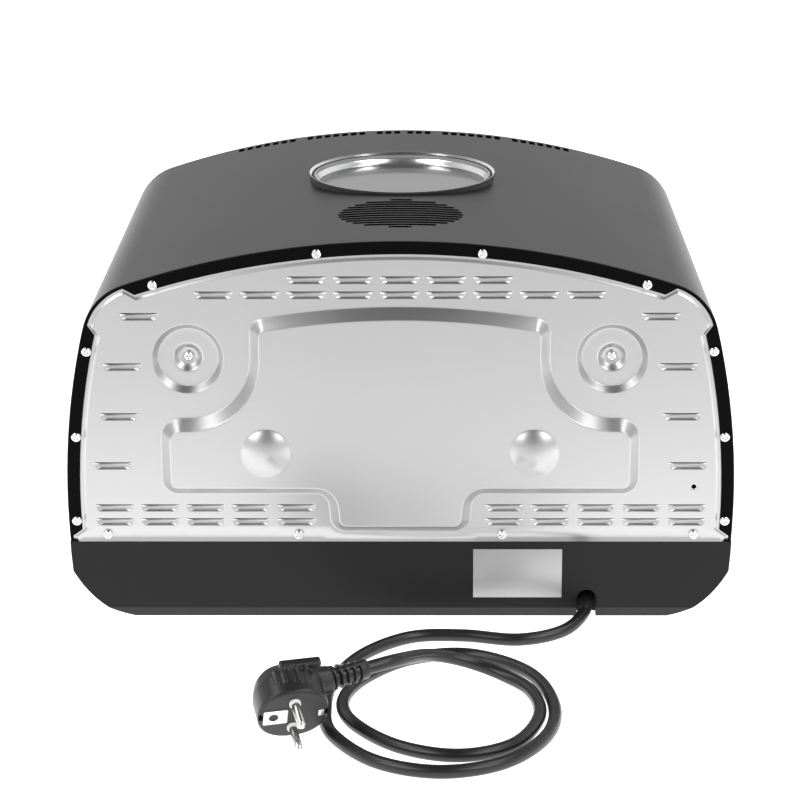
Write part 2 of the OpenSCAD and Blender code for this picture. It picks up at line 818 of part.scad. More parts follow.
module window_bezel() color("#d8dadc") {
    translate([0, window_y, 0]) rotate_extrude() polygon([
        [bezel_in, bezel_top - 0.6], [bezel_in + 0.6, bezel_top], [bezel_r - 0.8, bezel_top],
        [bezel_r, bezel_top - 0.8], [bezel_r, bezel_top - lip_t],
        [bezel_in + bezel_wall, bezel_top - lip_t],
        [bezel_in + bezel_wall, glass_z - 1.5], [bezel_in - 3, glass_z - 1.5], [bezel_in - 3, glass_z],
        [bezel_in, glass_z]
    ]);
}

// A ring that seals the gap under the bezel, with a skirt that lines the roof's hole
module window_gasket() color("#141414") {
    skirt = 8;
    difference() {
        translate([0, window_y, bezel_top - lip_t - skirt]) difference() {
            cylinder(h = skirt, r = bezel_r - 0.7);
            translate([0, 0, -1]) cylinder(h = skirt + 2, r = collar_in + liner_t + 0.2);
        }
        difference() {
            along_y(window_y - bezel_r, window_y + bezel_r) translate(roof_c) circle(roof_r, $fn = arc_fn);
            translate([0, window_y, 0]) cylinder(h = 2 * top_z, r = roof_hole_r - 0.2);
        }
    }
}

module window_glass() color("#a0a8aa") {
    translate([0, window_y, glass_z]) cylinder(h = glass_t, r = bezel_in - 0.2);
}

module window_collar() color("#b8bcc0") {
    translate([0, window_y, 0]) rotate_extrude() polygon([
        [collar_in, bezel_top - lip_t - sheet_gap], [collar_in + liner_t, bezel_top - lip_t - sheet_gap],
        [collar_in + liner_t, collar_bottom], [bezel_in - 3, collar_bottom],
        [bezel_in - 3, collar_bottom + liner_t], [collar_in, collar_bottom + liner_t]
    ]);
}

module inner_glass() color("#a0a8aa") {
    translate([0, window_y, collar_bottom + liner_t]) cylinder(h = glass_t, r = collar_in - 0.3);
}

// Front frame and oven cavity

module opening_2d() {
    intersection() {
        housing_2d(opening_inset);
        translate([-body_w, opening_z0]) square([2 * body_w, 2 * body_h]);
    }
}

module front_frame() color("#2c2c2c") {
    along_y(frame_y, frame_y + frame_t) difference() {
        arch_2d(roof_t + sheet_gap, seam_z + sheet_gap);
        opening_2d();
    }
}

module liner_shell() color("#b4b8ba") {
    difference() {
        along_y(liner_front_y, liner_rear_y) difference() {
            arch_2d(liner_inset, floor_z);
            housing_2d(liner_inset + liner_t);
        }
        translate([0, window_y, 0]) cylinder(h = 2 * top_z, r = collar_in + liner_t + 0.4);
    }
}

module liner_rear() color("#b4b8ba") {
    difference() {
        union() {
            along_y(liner_rear_y, liner_rear_y + liner_t) arch_2d(liner_inset, floor_z);
            both_sides() facing_back(dish_x, liner_rear_y, dish_z)
                cylinder(h = rear_gap - dish_depth - cup_depth - panel_t, r1 = 11, r2 = 7);
        }
        both_sides() {
            facing_back(dish_x, liner_rear_y - 2, dish_z) cylinder(h = rear_gap, r = screw_r + 0.1);
            for (x = [upper_end_x, lower_end_x])
                facing_back(x, liner_rear_y - 2, x == upper_end_x ? upper_rod_z : lower_rod_z)
                    cylinder(h = 8, r = rod_d / 2 + 1.6);
        }
    }
}

module liner_floor() color("#a8acae") {
    floor_x = side_x(floor_z, liner_inset + liner_t + sheet_gap);
    difference() {
        translate([-floor_x, liner_front_y + sheet_gap, floor_z])
            cube([2 * floor_x, liner_d - 2 * sheet_gap, liner_t]);
        translate([0, stone_y - 40, 0]) cylinder(h = 100, r = 1.5);
    }
}

module liner_feet() color("#c4c8cc") {
    both_sides() for (y = [liner_front_y + 30, liner_rear_y - 30])
        translate([liner_half - 40, y, deck_top]) {
            translate([-10, -6, 0]) cube([20, 12, 1]);
            translate([-10, -6, 0]) cube([1, 12, floor_gap]);
            translate([-24, -6, floor_gap - 1]) cube([15, 12, 1]);
        }
}

module insulation() color("#d9d3b8") {
    difference() {
        along_y(liner_front_y + 2, liner_rear_y - 4) difference() {
            arch_2d(liner_inset - 12, floor_z + 4);
            housing_2d(liner_inset - sheet_gap);
        }
        translate([0, window_y, 0]) cylinder(h = 2 * top_z, r = collar_in + liner_t + 1);
    }
}

// Heating rods

upper_end_x = 44;
lower_end_x = 26;
bend_r = 18;

// A quarter bend of rod that starts at the origin heading +X and turns left
module bend(angle = 90) {
    translate([0, bend_r, 0]) rotate([0, 0, -90])
        rotate_extrude(angle = angle) translate([bend_r, 0]) circle(rod_d / 2, $fn = 32);
}

module bar(l) {
    rotate([0, 90, 0]) cylinder(h = l, r = rod_d / 2, $fn = 32);
}

// A loop of rod in the XY plane, open at the rear, where its two ends run out
module rod_loop(x, y0, y1, end_x, end_y) {
    both_sides() {
        translate([0, y0, 0]) bar(x - bend_r);
        translate([x - bend_r, y0, 0]) bend();
        translate([x, y0 + bend_r, 0]) rotate([0, 0, 90]) bar(y1 - y0 - 2 * bend_r);
        translate([x, y1 - bend_r, 0]) rotate([0, 0, 90]) bend();
        translate([x - bend_r, y1, 0]) rotate([0, 0, 180]) bar(x - end_x - 2 * bend_r);
        translate([end_x + bend_r, y1, 0]) rotate([0, 0, 180]) mirror([0, 1, 0]) bend();
        translate([end_x, y1 + bend_r, 0]) rotate([0, 0, 90]) bar(end_y - y1 - bend_r);
    }
}

module upper_element() color("#6a6a66") {
    translate([0, 0, upper_rod_z])
        rod_loop(112, liner_front_y + 44, liner_rear_y - 40, upper_end_x, liner_rear_y + 9);
}

module lower_element() color("#6a6a66") {
    translate([0, 0, lower_rod_z])
        rod_loop(96, stone_y - 96, stone_y + 96, lower_end_x, liner_rear_y + 9);
}

module element_bushes() color("#eeeae0") {
    both_sides() {
        element_bush(upper_end_x, upper_rod_z);
        element_bush(lower_end_x, lower_rod_z);
    }
}

module element_bush(x, z) {
    facing_back(x, liner_rear_y - 1, z) difference() {
        union() {
            cylinder(h = 7, r = rod_d / 2 + 1.5);
            translate([0, 0, 1 + liner_t]) cylinder(h = 3, r = rod_d / 2 + 3.5);
        }
        translate([0, 0, -1]) cylinder(h = 10, r = rod_d / 2 + run_gap);
    }
}

// Sheet hooks that hang the upper rod from the ceiling
module element_clips() color("#b4b8ba") {
    ceiling = roof_z(112 + rod_d, liner_inset + liner_t);
    both_sides() for (y = [liner_front_y + 90, liner_rear_y - 80])
        translate([112, y, upper_rod_z]) difference() {
            translate([-rod_d / 2 - 2, -3, -rod_d / 2 - 1])
                cube([rod_d + 4, 6, ceiling - upper_rod_z + rod_d / 2 + 0.7]);
            translate([0, 4, 0]) rotate([90, 0, 0]) cylinder(h = 8, r = rod_d / 2 + run_gap);
            translate([-rod_d / 2 - run_gap, -4, 0])
                cube([rod_d + 2 * run_gap, 8, 14]);
        }
}

// Wire stand under the stone
module stone_stand() color("#c4c8cc") {
    ring_z = stone_z - stand_d / 2;
    translate([0, stone_y, ring_z]) rotate_extrude() translate([stand_r, 0]) circle(stand_d / 2, $fn = 32);
    for (a = [45:90:315])
        translate([0, stone_y, floor_z + liner_t]) rotate([0, 0, a]) translate([stand_r, 0, 0])
            cylinder(h = ring_z - floor_z - liner_t, r = stand_d / 2 - 0.4);
}

module pizza_stone() color("#d8c6a4") {
    translate([0, stone_y, stone_z]) rotate_extrude($fn = 180) polygon([
        [0, 0], [stone_d / 2 - 2, 0], [stone_d / 2, 2],
        [stone_d / 2, stone_t - 2], [stone_d / 2 - 2, stone_t], [0, stone_t]
    ]);
}

// Door

module door_2d(d = 0) arch_2d(door_inset + d, door_z0 + d);

// The viewing window's outline, with an arched head, moved out by d
module door_window_2d(d = 0) polygon(rounded(door_win_corners, 6, -d));

// Room for the fixed knuckle behind the door's lower edge
module knuckle_room() {
    both_sides() translate([hinge_x - knuckle_w / 2 - knuckle_gap, hinge_y - hinge_r - 1, door_z0 - 1])
        cube([knuckle_w + 2 * knuckle_gap, door_t, 2 * hinge_r + 3]);
}

module door_shell() color("#2a2a2a") {
    difference() {
        union() {
            along_y(door_front, door_back) difference() {
                door_2d();
                door_2d(door_skin);
            }
            along_y(door_front, door_front + door_skin) difference() {
                door_2d();
                door_window_2d();
            }
            both_sides() hinge_cheeks();
        }
        knuckle_room();
        both_sides() facing_side(hinge_x - 40, 80) cylinder(h = 80, r = pin_d / 2);
        translate([-body_w, door_back, door_z0 - 1]) rotate([0, 90, 0]) linear_extrude(2 * body_w)
            back_edge_round();
    }
}

module facing_side(x, l) {
    translate([x, hinge_y, hinge_z]) rotate([0, 90, 0]) children();
}

// Cuts the lower back edge round about the hinge axis
module back_edge_round() {
    difference() {
        translate([-1 - hinge_r, -hinge_r]) square([hinge_r + 2, hinge_r + 1]);
        translate([-1 - hinge_r, -hinge_r]) circle(hinge_r);
    }
}

module hinge_cheeks() {
    for (s = [-1, 1]) translate([hinge_x + s * (knuckle_w / 2 + knuckle_gap + 3) - 3, 0, 0])
        translate([0, hinge_y - hinge_r, door_z0]) cube([6, 2 * hinge_r, 2 * hinge_r]);
}

module door_liner() color("#b8bcc0") {
    along_y(door_back - 1.2, door_back - 0.2) difference() {
        door_2d(door_skin + sheet_gap + 12);
        door_window_2d(-6);
    }
}

module door_glass() color("#50585a") {
    along_y(door_front + door_skin, door_front + door_skin + 4) door_window_2d(7);
}

module door_seal() color("#303030") {
    along_y(door_front + door_skin + 4, door_back - 1.2) difference() {
        door_window_2d(7);
        door_window_2d(1);
    }
}

module door_screws() color("silver") {
    both_sides() for (z = [door_z0 + 24, top_z - 84])
        facing_back(side_x(z, door_inset + 22), door_back - 0.2, z)
            cylinder(h = 0.4, r = 2);
}

module handle_bar() color("#c9cbcc") {
    translate([-handle_span / 2 - 16, handle_y, handle_z]) rotate([0, 90, 0])
        cylinder(h = handle_span + 32, r = handle_d / 2);
}

module handle_posts() color("#c9cbcc") {
    both_sides() difference() {
        translate([handle_span / 2, door_front, handle_z]) rotate([90, 0, 0])
            cylinder(h = door_front - handle_y, r = post_d / 2);
        translate([0, handle_y, handle_z]) rotate([0, 90, 0]) cylinder(h = 2 * handle_span, r = handle_d / 2);
    }
}

module hinge_brackets() color("#9a9ea0") {
    both_sides() difference() {
        union() {
            facing_side(hinge_x - knuckle_w / 2) cylinder(h = knuckle_w, r = hinge_r - 0.6);
            translate([hinge_x - knuckle_w / 2, hinge_y, hinge_z - 2])
                cube([knuckle_w, frame_y - hinge_y, 4]);
        }
        facing_side(hinge_x - knuckle_w) cylinder(h = 2 * knuckle_w, r = pin_d / 2 + run_gap);
    }
}

module hinge_pins() color("silver") {
    both_sides() facing_side(hinge_x - knuckle_w / 2 - 6) cylinder(h = knuckle_w + 12, r = pin_d / 2);
}

// Mains cord

function spline(a, b, c, d, t) =
    0.5 * ((2 * b) + (c - a) * t + (2 * a - 5 * b + 4 * c - d) * t * t + (3 * b - a - 3 * c + d) * t * t * t);
function at(pts, i) = pts[max(0, min(len(pts) - 1, i))];
cord_line = [
    for (i = [0:len(cord_route) - 2], k = [0:cord_steps - 1])
        let (a = at(cord_route, i - 1), b = at(cord_route, i))
        let (c = at(cord_route, i + 1), d = at(cord_route, i + 2))
        spline(a, b, c, d, k / cord_steps),
    cord_route[len(cord_route) - 1]
];
function heading(i) =
    i == 0 ? [0, 1, 0] :
    i == len(cord_line) - 1 ? unit(on_cable(0) - on_cable(sleeve_end)) :
    unit(at(cord_line, i + 1) - at(cord_line, i - 1));
function ring(c, dir, r, n) =
    let (side = unit(cross(dir, [0, 0, 1])), up = cross(side, dir))
    [for (k = [0:n - 1]) c + r * (cos(360 * k / n) * side + sin(360 * k / n) * up)];

module mains_cord() color("#161616") {
    n = cord_sides;
    m = len(cord_line);
    points = [for (i = [0:m - 1]) each ring(cord_line[i], heading(i), cord_r, n)];
    walls = [
        for (i = [0:m - 2], k = [0:n - 1])
            each [
                [i * n + k, i * n + (k + 1) % n, (i + 1) * n + (k + 1) % n],
                [i * n + k, (i + 1) * n + (k + 1) % n, (i + 1) * n + k]
            ]
    ];
    caps = [[for (k = [n - 1:-1:0]) k], [for (k = [0:n - 1]) (m - 1) * n + k]];
    polyhedron(points = points, faces = concat(walls, caps), convexity = 10);
}

module at_plug() {
    translate(plug_at) rotate([0, 0, plug_turn]) rotate([-plug_tilt, 0, 0]) children();
}

// The cable side of the plug, with Z along the cable's axis
module at_cable() {
    translate([0, -plug_back, 0]) rotate([0, 0, plug_lean]) rotate([0, -90, 0]) children();
}

// Both pins' places, from 3 mm inside the plug's face outwards
module at_pins() {
    for (z = [-1, 1]) translate([0, -3, z * plug_pin_gap / 2]) rotate([-90, 0, 0]) children();
}

module plug_body() color("#1a1a1a") {
    at_plug() difference() {
        hull() {
            rotate([90, 0, 0]) cylinder(h = 14, r = plug_r, $fn = 48);
            translate([0, -14, 0]) rotate([90, 0, 0]) cylinder(h = 17, r1 = plug_r, r2 = 11, $fn = 48);
            at_cable() cylinder(h = sleeve_start, r1 = 11, r2 = 8, $fn = 32);
        }
        both_sides() translate([plug_r - 2, -16, -2.6]) cube([6, 20, 5.2]);
        translate([3.5, -1, -5.5]) cube([14, 3, 11]);
        at_pins() cylinder(h = 6, r = 3.4);
    }
}

module plug_pins() color("#d0d0cc") {
    at_plug() at_pins() {
        cylinder(h = plug_pin_l + 3 - plug_pin_d / 2, r = plug_pin_d / 2);
        translate([0, 0, plug_pin_l + 3 - plug_pin_d / 2])
            cylinder(h = plug_pin_d / 2, r1 = plug_pin_d / 2, r2 = plug_pin_d / 4);
    }
}

module pin_sleeves() color("#e8e8e4") {
    at_plug() at_pins() difference() {
        cylinder(h = 5, r = 3.3);
        translate([0, 0, -1]) cylinder(h = 8, r = plug_pin_d / 2);
    }
}

module plug_contacts() color("#d8d8d4") {
    at_plug() {
        translate([3.5, -1, -5.5]) difference() {
            cube([14, 1, 11]);
            translate([8.5, -1, 5.5]) rotate([-90, 0, 0]) cylinder(h = 3, r = 3);
        }
        both_sides() translate([plug_r - 2, -15, -2]) cube([1, 14, 4]);
    }
}

// Ribbed sleeve that keeps the cord from kinking at the plug
module cord_sleeve() color("#1a1a1a") {
    at_plug() at_cable() translate([0, 0, sleeve_start]) difference() {
        cylinder(h = sleeve_end - sleeve_start, r1 = 7.4, r2 = 5.6);
        for (i = [0:3]) translate([0, 0, 5 + i * 5]) difference() {
            cylinder(h = 2, r = 12);
            translate([0, 0, -1]) cylinder(h = 4, r = 5);
        }
    }
}

base_tub();
bottom_cover();
bottom_screws();
rubber_feet();
base_deck();
control_panel();
temperature_knob();
temperature_shaft();
thermostat();
thermostat_probe();
timer_knob();
timer_shaft();
timer_body();
power_lamp();
heat_lamp();
terminal_block();
cord_clamp();
wiring_loom();
roof_cover();
rear_panel();
flange_screws();
lower_screws();
dish_screws();
window_bezel();
window_gasket();
window_glass();
window_collar();
inner_glass();
front_frame();
liner_shell();
liner_rear();
liner_floor();
liner_feet();
insulation();
upper_element();
lower_element();
element_bushes();
element_clips();
stone_stand();
pizza_stone();
door_shell();
door_liner();
door_glass();
door_seal();
door_screws();
handle_bar();
handle_posts();
hinge_brackets();
hinge_pins();
mains_cord();
cord_sleeve();
plug_body();
plug_pins();
pin_sleeves();
plug_contacts();
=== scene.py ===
"""Looks of an electric pizza maker: pressed panel, painted roof sheet, moulded base, round window, door and cord."""
import json
import logging
import math
import random
from dataclasses import dataclass, field
from enum import Enum
from typing import Callable, Iterable, Sequence

import bmesh
import bpy
from mathutils import Matrix, Quaternion, Vector

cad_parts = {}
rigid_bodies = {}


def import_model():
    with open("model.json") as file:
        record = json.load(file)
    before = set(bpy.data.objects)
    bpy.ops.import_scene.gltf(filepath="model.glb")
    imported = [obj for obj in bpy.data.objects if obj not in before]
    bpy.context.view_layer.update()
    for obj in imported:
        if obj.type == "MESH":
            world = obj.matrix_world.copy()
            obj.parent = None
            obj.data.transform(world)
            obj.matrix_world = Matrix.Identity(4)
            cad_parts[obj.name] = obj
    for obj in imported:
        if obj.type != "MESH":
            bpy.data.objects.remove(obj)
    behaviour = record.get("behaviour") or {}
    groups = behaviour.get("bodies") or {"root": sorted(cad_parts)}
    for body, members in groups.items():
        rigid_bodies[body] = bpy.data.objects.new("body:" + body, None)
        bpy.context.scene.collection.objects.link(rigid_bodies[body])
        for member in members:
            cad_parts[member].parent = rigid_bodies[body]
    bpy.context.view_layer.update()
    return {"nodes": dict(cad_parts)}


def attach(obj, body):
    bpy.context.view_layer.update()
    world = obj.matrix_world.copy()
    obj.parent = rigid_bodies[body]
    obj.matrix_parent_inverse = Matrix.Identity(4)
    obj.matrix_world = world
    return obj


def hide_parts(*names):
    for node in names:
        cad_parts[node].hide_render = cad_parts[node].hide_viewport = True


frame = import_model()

LOG = logging.getLogger("pizza_maker")
MM = 0.001
Point = tuple[float, float, float]
Flat = tuple[float, float]
Colour = tuple[float, float, float]
Shape = bmesh.types.BMesh
Edges = list[bmesh.types.BMEdge]


class Body(Enum):
    """The rigid bodies that pieces ride on."""

    HOUSING = "housing"
    DOOR = "door"
    TEMPERATURE = "temperature_control"
    TIMER = "timer_control"


class Grain(Enum):
    """The direction in which a sheet was rolled or brushed, as a stretch of its pattern."""

    ALONG_X = (0.02, 1.0, 1.0)
    ALONG_Y = (1.0, 0.02, 1.0)
    ALONG_Z = (1.0, 1.0, 0.02)


# Materials


class Wire:
    """An output socket whose arithmetic adds Math nodes."""

    def __init__(self, maker: "NodeMaker", socket: bpy.types.NodeSocket) -> None:
        """Keeps the socket and the maker of its tree."""
        self.maker = maker
        self.socket = socket

    def _math(self, operation: str, *values: "Wire | float") -> "Wire":
        """Adds one Math node."""
        return self.maker.make("ShaderNodeMath", {"operation": operation}, dict(enumerate(values)))

    def __add__(self, other: "Wire | float") -> "Wire":
        """Sum."""
        return self._math("ADD", self, other)

    __radd__ = __add__

    def __sub__(self, other: "Wire | float") -> "Wire":
        """Difference."""
        return self._math("SUBTRACT", self, other)

    def __rsub__(self, other: float) -> "Wire":
        """Reflected difference."""
        return self._math("SUBTRACT", other, self)

    def __mul__(self, other: "Wire | float") -> "Wire":
        """Product."""
        return self._math("MULTIPLY", self, other)

    __rmul__ = __mul__

    def smooth(self, low: float, high: float) -> "Wire":
        """A smooth step from 0 at low to 1 at high."""
        return self.maker.make(
            "ShaderNodeMapRange", {"interpolation_type": "SMOOTHSTEP"}, {0: self, 1: low, 2: high}
        )


class NodeMaker:
    """Builds the nodes of one tree."""

    def __init__(self, tree: bpy.types.NodeTree) -> None:
        """Empties the tree."""
        self.tree = tree
        tree.nodes.clear()

    def make(self, kind: str, settings: dict, sockets: dict, out: int | str = 0) -> Wire:
        """Adds a node.

        Args:
            kind: The node's type.
            settings: Its own settings, set first.
            sockets: Values or wires by input.
            out: The output that is wanted.

        Returns:
            The wanted output.
        """
        node = self.tree.nodes.new(kind)
        for key, value in settings.items():
            setattr(node, key, value)
        for key, value in sockets.items():
            if isinstance(value, Wire):
                self.tree.links.new(value.socket, node.inputs[key])
            else:
                node.inputs[key].default_value = value
        return Wire(self, node.outputs[out] if len(node.outputs) else None)

    def place(self, stretch: Point = (1.0, 1.0, 1.0)) -> Wire:
        """Object coordinates, stretched."""
        here = self.make("ShaderNodeTexCoord", {}, {}, "Object")
        return self.make("ShaderNodeMapping", {}, {"Vector": here, "Scale": stretch})

    def noise(self, where: Wire, scale: float, detail: float = 2.0, rough: float = 0.5) -> Wire:
        """Fractal noise from 0 to 1."""
        return self.make(
            "ShaderNodeTexNoise", {}, {"Vector": where, "Scale": scale, "Detail": detail, "Roughness": rough}
        )

    def cells(self, where: Wire, scale: float, out: str = "Distance") -> Wire:
        """Voronoi cells."""
        return self.make("ShaderNodeTexVoronoi", {}, {"Vector": where, "Scale": scale}, out)

    def mix(self, share: Wire | float, first: Colour | Wire, second: Colour | Wire) -> Wire:
        """A mix of two colours."""
        ends = {i: c if isinstance(c, Wire) else (*c, 1.0) for i, c in ((6, first), (7, second))}
        return self.make("ShaderNodeMix", {"data_type": "RGBA"}, {0: share, **ends}, 2)

    def bump(self, height: Wire, depth_mm: float, strength: float = 1.0) -> Wire:
        """A normal from a height."""
        return self.make(
            "ShaderNodeBump", {}, {"Height": height, "Distance": depth_mm * MM, "Strength": strength}
        )

    def shade(self, sockets: dict) -> None:
        """Ends a material's tree in a Principled shader with these sockets."""
        shader = self.make("ShaderNodeBsdfPrincipled", {}, sockets)
        self.make("ShaderNodeOutputMaterial", {}, {"Surface": shader})


@dataclass(frozen=True)
class Finish:
    """What every surface has."""

    name: str
    slot: str
    colour: Colour
    roughness: float

    def material(self) -> bpy.types.Material:
        """The finish as a material, made once."""
        found = bpy.data.materials.get(self.name)
        if not found:
            found = bpy.data.materials.new(self.name)
            found.use_nodes = True
            maker = NodeMaker(found.node_tree)
            maker.shade(self.sockets(maker))
        return found

    def sockets(self, maker: NodeMaker) -> dict:
        """The shader's sockets."""
        raise NotImplementedError

    def lighter(self, share: float) -> Colour:
        """The colour times a share."""
        return tuple(min(1.0, c * share) for c in self.colour)


@dataclass(frozen=True)
class Paint(Finish):
    """Sprayed satin paint with a slight orange peel."""

    peel_mm: float = 0.003
    gloss: float = 0.5

    def sockets(self, maker: NodeMaker) -> dict:
        """Faint clouds in the colour, specks of dust and a fine peel."""
        here = maker.place()
        clouds = maker.noise(here, 9.0, 3.0)
        peel = maker.noise(here, 650.0, 2.0)
        fine = maker.noise(here, 2600.0, 1.0)
        return {
            "Base Color": maker.mix(clouds, self.lighter(0.94), self.lighter(1.06)),
            "Roughness": self.roughness + (fine - 0.5) * 0.08 + (clouds - 0.5) * 0.04,
            "Specular IOR Level": self.gloss,
            "Normal": maker.bump(peel + fine * 0.35, self.peel_mm),
        }


@dataclass(frozen=True)
class RolledSheet(Finish):
    """Bare metal sheet with the faint lines of its rolling."""

    grain: Grain = Grain.ALONG_X
    lines: float = 0.05
    depth_mm: float = 0.0015

    def sockets(self, maker: NodeMaker) -> dict:
        """Long streaks in gloss and height, over broad soft clouds."""
        streaks = maker.noise(maker.place(self.grain.value), 900.0, 3.0, 0.6)
        here = maker.place()
        clouds = maker.noise(here, 7.0, 2.0)
        dust = maker.noise(here, 1800.0, 1.0)
        return {
            "Base Color": maker.mix(clouds * 0.6 + streaks * 0.4, self.lighter(0.96), self.lighter(1.04)),
            "Metallic": 1.0,
            "Roughness": self.roughness + (streaks - 0.5) * self.lines + (clouds - 0.5) * 0.04,
            "Normal": maker.bump(streaks * 0.7 + dust * 0.3, self.depth_mm),
        }


@dataclass(frozen=True)
class Spangled(Finish):
    """Zinc with its crystals."""

    def sockets(self, maker: NodeMaker) -> dict:
        """Cells of slightly different grey and gloss."""
        here = maker.place()
        shade = maker.make("ShaderNodeSeparateColor", {}, {0: maker.cells(here, 110.0, "Color")})
        dust = maker.noise(here, 900.0, 2.0)
        return {
            "Base Color": maker.mix(shade, self.lighter(0.86), self.lighter(1.1)),
            "Metallic": 1.0,
            "Roughness": self.roughness + (shade - 0.5) * 0.16 + (dust - 0.5) * 0.06,
            "Normal": maker.bump(dust, 0.003),
        }


@dataclass(frozen=True)
class Moulded(Finish):
    """Moulded plastic with a spark-eroded texture."""

    grain_mm: float = 0.45
    depth_mm: float = 0.010
    gloss: float = 0.5

    def sockets(self, maker: NodeMaker) -> dict:
        """Fine pits, with slow changes of gloss where it was handled."""
        here = maker.place()
        pits = maker.noise(here, 1.0 / (self.grain_mm * MM), 3.0, 0.65)
        handled = maker.noise(here, 22.0, 3.0)
        return {
            "Base Color": maker.mix(handled, self.lighter(0.92), self.lighter(1.10)),
            "Roughness": self.roughness + (handled - 0.5) * 0.08 + (pits - 0.5) * 0.12,
            "Specular IOR Level": self.gloss,
            "Normal": maker.bump(pits, self.depth_mm),
        }


@dataclass(frozen=True)
class Plated(Finish):
    """Polished or plated metal with hairline scratches."""

    scratches: float = 0.10

    def sockets(self, maker: NodeMaker) -> dict:
        """Hairlines in two directions and a little tarnish."""
        first = maker.noise(maker.place((0.06, 1.0, 0.5)), 3200.0, 2.0)
        second = maker.noise(maker.place((1.0, 0.08, 0.9)), 2700.0, 2.0)
        tarnish = maker.noise(maker.place(), 160.0, 3.0)
        lines = first.smooth(0.60, 0.75) + second.smooth(0.62, 0.76)
        return {
            "Base Color": maker.mix(tarnish.smooth(0.45, 0.8), self.colour, self.lighter(0.86)),
            "Metallic": 1.0,
            "Roughness": self.roughness + lines * self.scratches + (tarnish - 0.5) * 0.03,
            "Normal": maker.bump(lines, 0.001, 0.5),
        }


@dataclass(frozen=True)
class Rubber(Finish):
    """Soft sheath or rubber with a dull bloom."""

    sheen: float = 0.1
    gloss: float = 0.5

    def sockets(self, maker: NodeMaker) -> dict:
        """A dull bloom over fine pits."""
        here = maker.place()
        bloom = maker.noise(here, 45.0, 3.0)
        pits = maker.noise(here, 1500.0, 2.0)
        return {
            "Base Color": maker.mix(bloom, self.colour, self.lighter(1.4)),
            "Roughness": self.roughness + (bloom - 0.5) * 0.12 + (pits - 0.5) * 0.08,
            "Specular IOR Level": self.gloss,
            "Sheen Weight": self.sheen,
            "Sheen Roughness": 0.4,
            "Normal": maker.bump(pits, 0.005),
        }


@dataclass(frozen=True)
class Pane(Finish):
    """Toughened glass."""

    clear: float = 0.85

    def sockets(self, maker: NodeMaker) -> dict:
        """Faint wipe marks in the gloss."""
        wipes = maker.noise(maker.place((1.0, 0.35, 1.0)), 26.0, 4.0)
        return {
            "Base Color": maker.mix(wipes, self.lighter(0.96), self.colour),
            "Roughness": self.roughness + wipes.smooth(0.5, 0.8) * 0.03,
            "Transmission Weight": self.clear,
            "IOR": 1.52,
        }


@dataclass(frozen=True)
class Mineral(Finish):
    """Stone, ceramic or wool: a rough body with specks and pits."""

    speck: Colour = (0.4, 0.33, 0.25)
    scale: float = 400.0
    depth_mm: float = 0.08

    def sockets(self, maker: NodeMaker) -> dict:
        """Specks, clouds of scorching and pits."""
        here = maker.place()
        clouds = maker.noise(here, 12.0, 4.0)
        specks = maker.noise(here, self.scale, 4.0, 0.7)
        body = maker.mix(clouds.smooth(0.3, 0.75), self.colour, self.lighter(0.82))
        return {
            "Base Color": maker.mix(specks.smooth(0.58, 0.72), body, self.speck),
            "Roughness": self.roughness - specks * 0.1,
            "Normal": maker.bump(specks, self.depth_mm),
        }


@dataclass(frozen=True)
class Lens(Finish):
    """A clear coloured lens with a prism pattern inside."""

    def sockets(self, maker: NodeMaker) -> dict:
        """Prisms in height and colour."""
        prisms = maker.cells(maker.place(), 900.0)
        return {
            "Base Color": maker.mix(prisms, self.colour, self.lighter(1.7)),
            "Roughness": self.roughness,
            "Transmission Weight": 0.35,
            "Coat Weight": 0.6,
            "Normal": maker.bump(prisms, 0.06, 0.4),
        }


ROOF_PAINT = Paint("roof_paint", "housing_paint", (0.018, 0.018, 0.019), 0.38, gloss=0.15)
# A darker copy of the roof's paint as painted shade, for the rear flange and the vents' cut edges, which are the same
# painted sheet
SHADED_ROOF_PAINT = Paint("roof_paint_painted_shade", "housing_paint", (0.002, 0.002, 0.002), 0.45, gloss=0.04)
DOOR_PAINT = Paint("door_paint", "door_paint", (0.016, 0.016, 0.017), 0.34)
PANEL_SHEET = RolledSheet("panel_sheet", "rear_sheet", (0.49, 0.49, 0.492), 0.34)
PLATE_SHEET = RolledSheet("plate_sheet", "rear_sheet", (0.40, 0.40, 0.40), 0.42, lines=0.10)
LINER_SHEET = RolledSheet("liner_sheet", "liner_sheet", (0.56, 0.57, 0.58), 0.36, Grain.ALONG_Y, 0.14, 0.004)
HANDLE_METAL = RolledSheet("handle_metal", "handle_steel", (0.70, 0.70, 0.70), 0.28, Grain.ALONG_X, 0.2, 0.003)
ROD_METAL = RolledSheet("rod_metal", "rod_sheath", (0.20, 0.20, 0.19), 0.52, Grain.ALONG_Y, 0.2, 0.01)
ZINC = Spangled("zinc_sheet", "zinc_sheet", (0.60, 0.62, 0.64), 0.40)
BASE_MOULD = Moulded("base_mould", "base_plastic", (0.010, 0.010, 0.0105), 0.42, gloss=0.18)
PRINTED_PANEL = Moulded("printed_panel", "base_plastic", (0.010, 0.010, 0.0105), 0.30, 0.7, 0.003)
KNOB_MOULD = Moulded("knob_mould", "knob_plastic", (0.016, 0.016, 0.017), 0.26, 0.6, 0.004)
SWITCH_MOULD = Moulded("switch_mould", "switch_plastic", (0.66, 0.63, 0.55), 0.5)
PLUG_MOULD = Moulded("plug_mould", "plug_plastic", (0.010, 0.010, 0.011), 0.36, 0.35, 0.008)
PLUG_FACE = Moulded("plug_face", "plug_plastic", (0.026, 0.026, 0.027), 0.60, 0.7, 0.05)
# Near-black plastic as painted shade for the guide grooves' recesses
GROOVE_PAINTED_SHADE = Moulded("groove_painted_shade", "plug_plastic", (0.001, 0.001, 0.001), 0.7, 0.4, 0.01, gloss=0.05)
COLLAR_MOULD = Moulded("collar_mould", "collar_plastic", (0.78, 0.78, 0.76), 0.45)
SCREW_METAL = Plated("screw_metal", "screw_steel", (0.84, 0.83, 0.81), 0.16)
RING_METAL = Plated("ring_metal", "ring_chrome", (0.74, 0.74, 0.735), 0.20, 0.05)
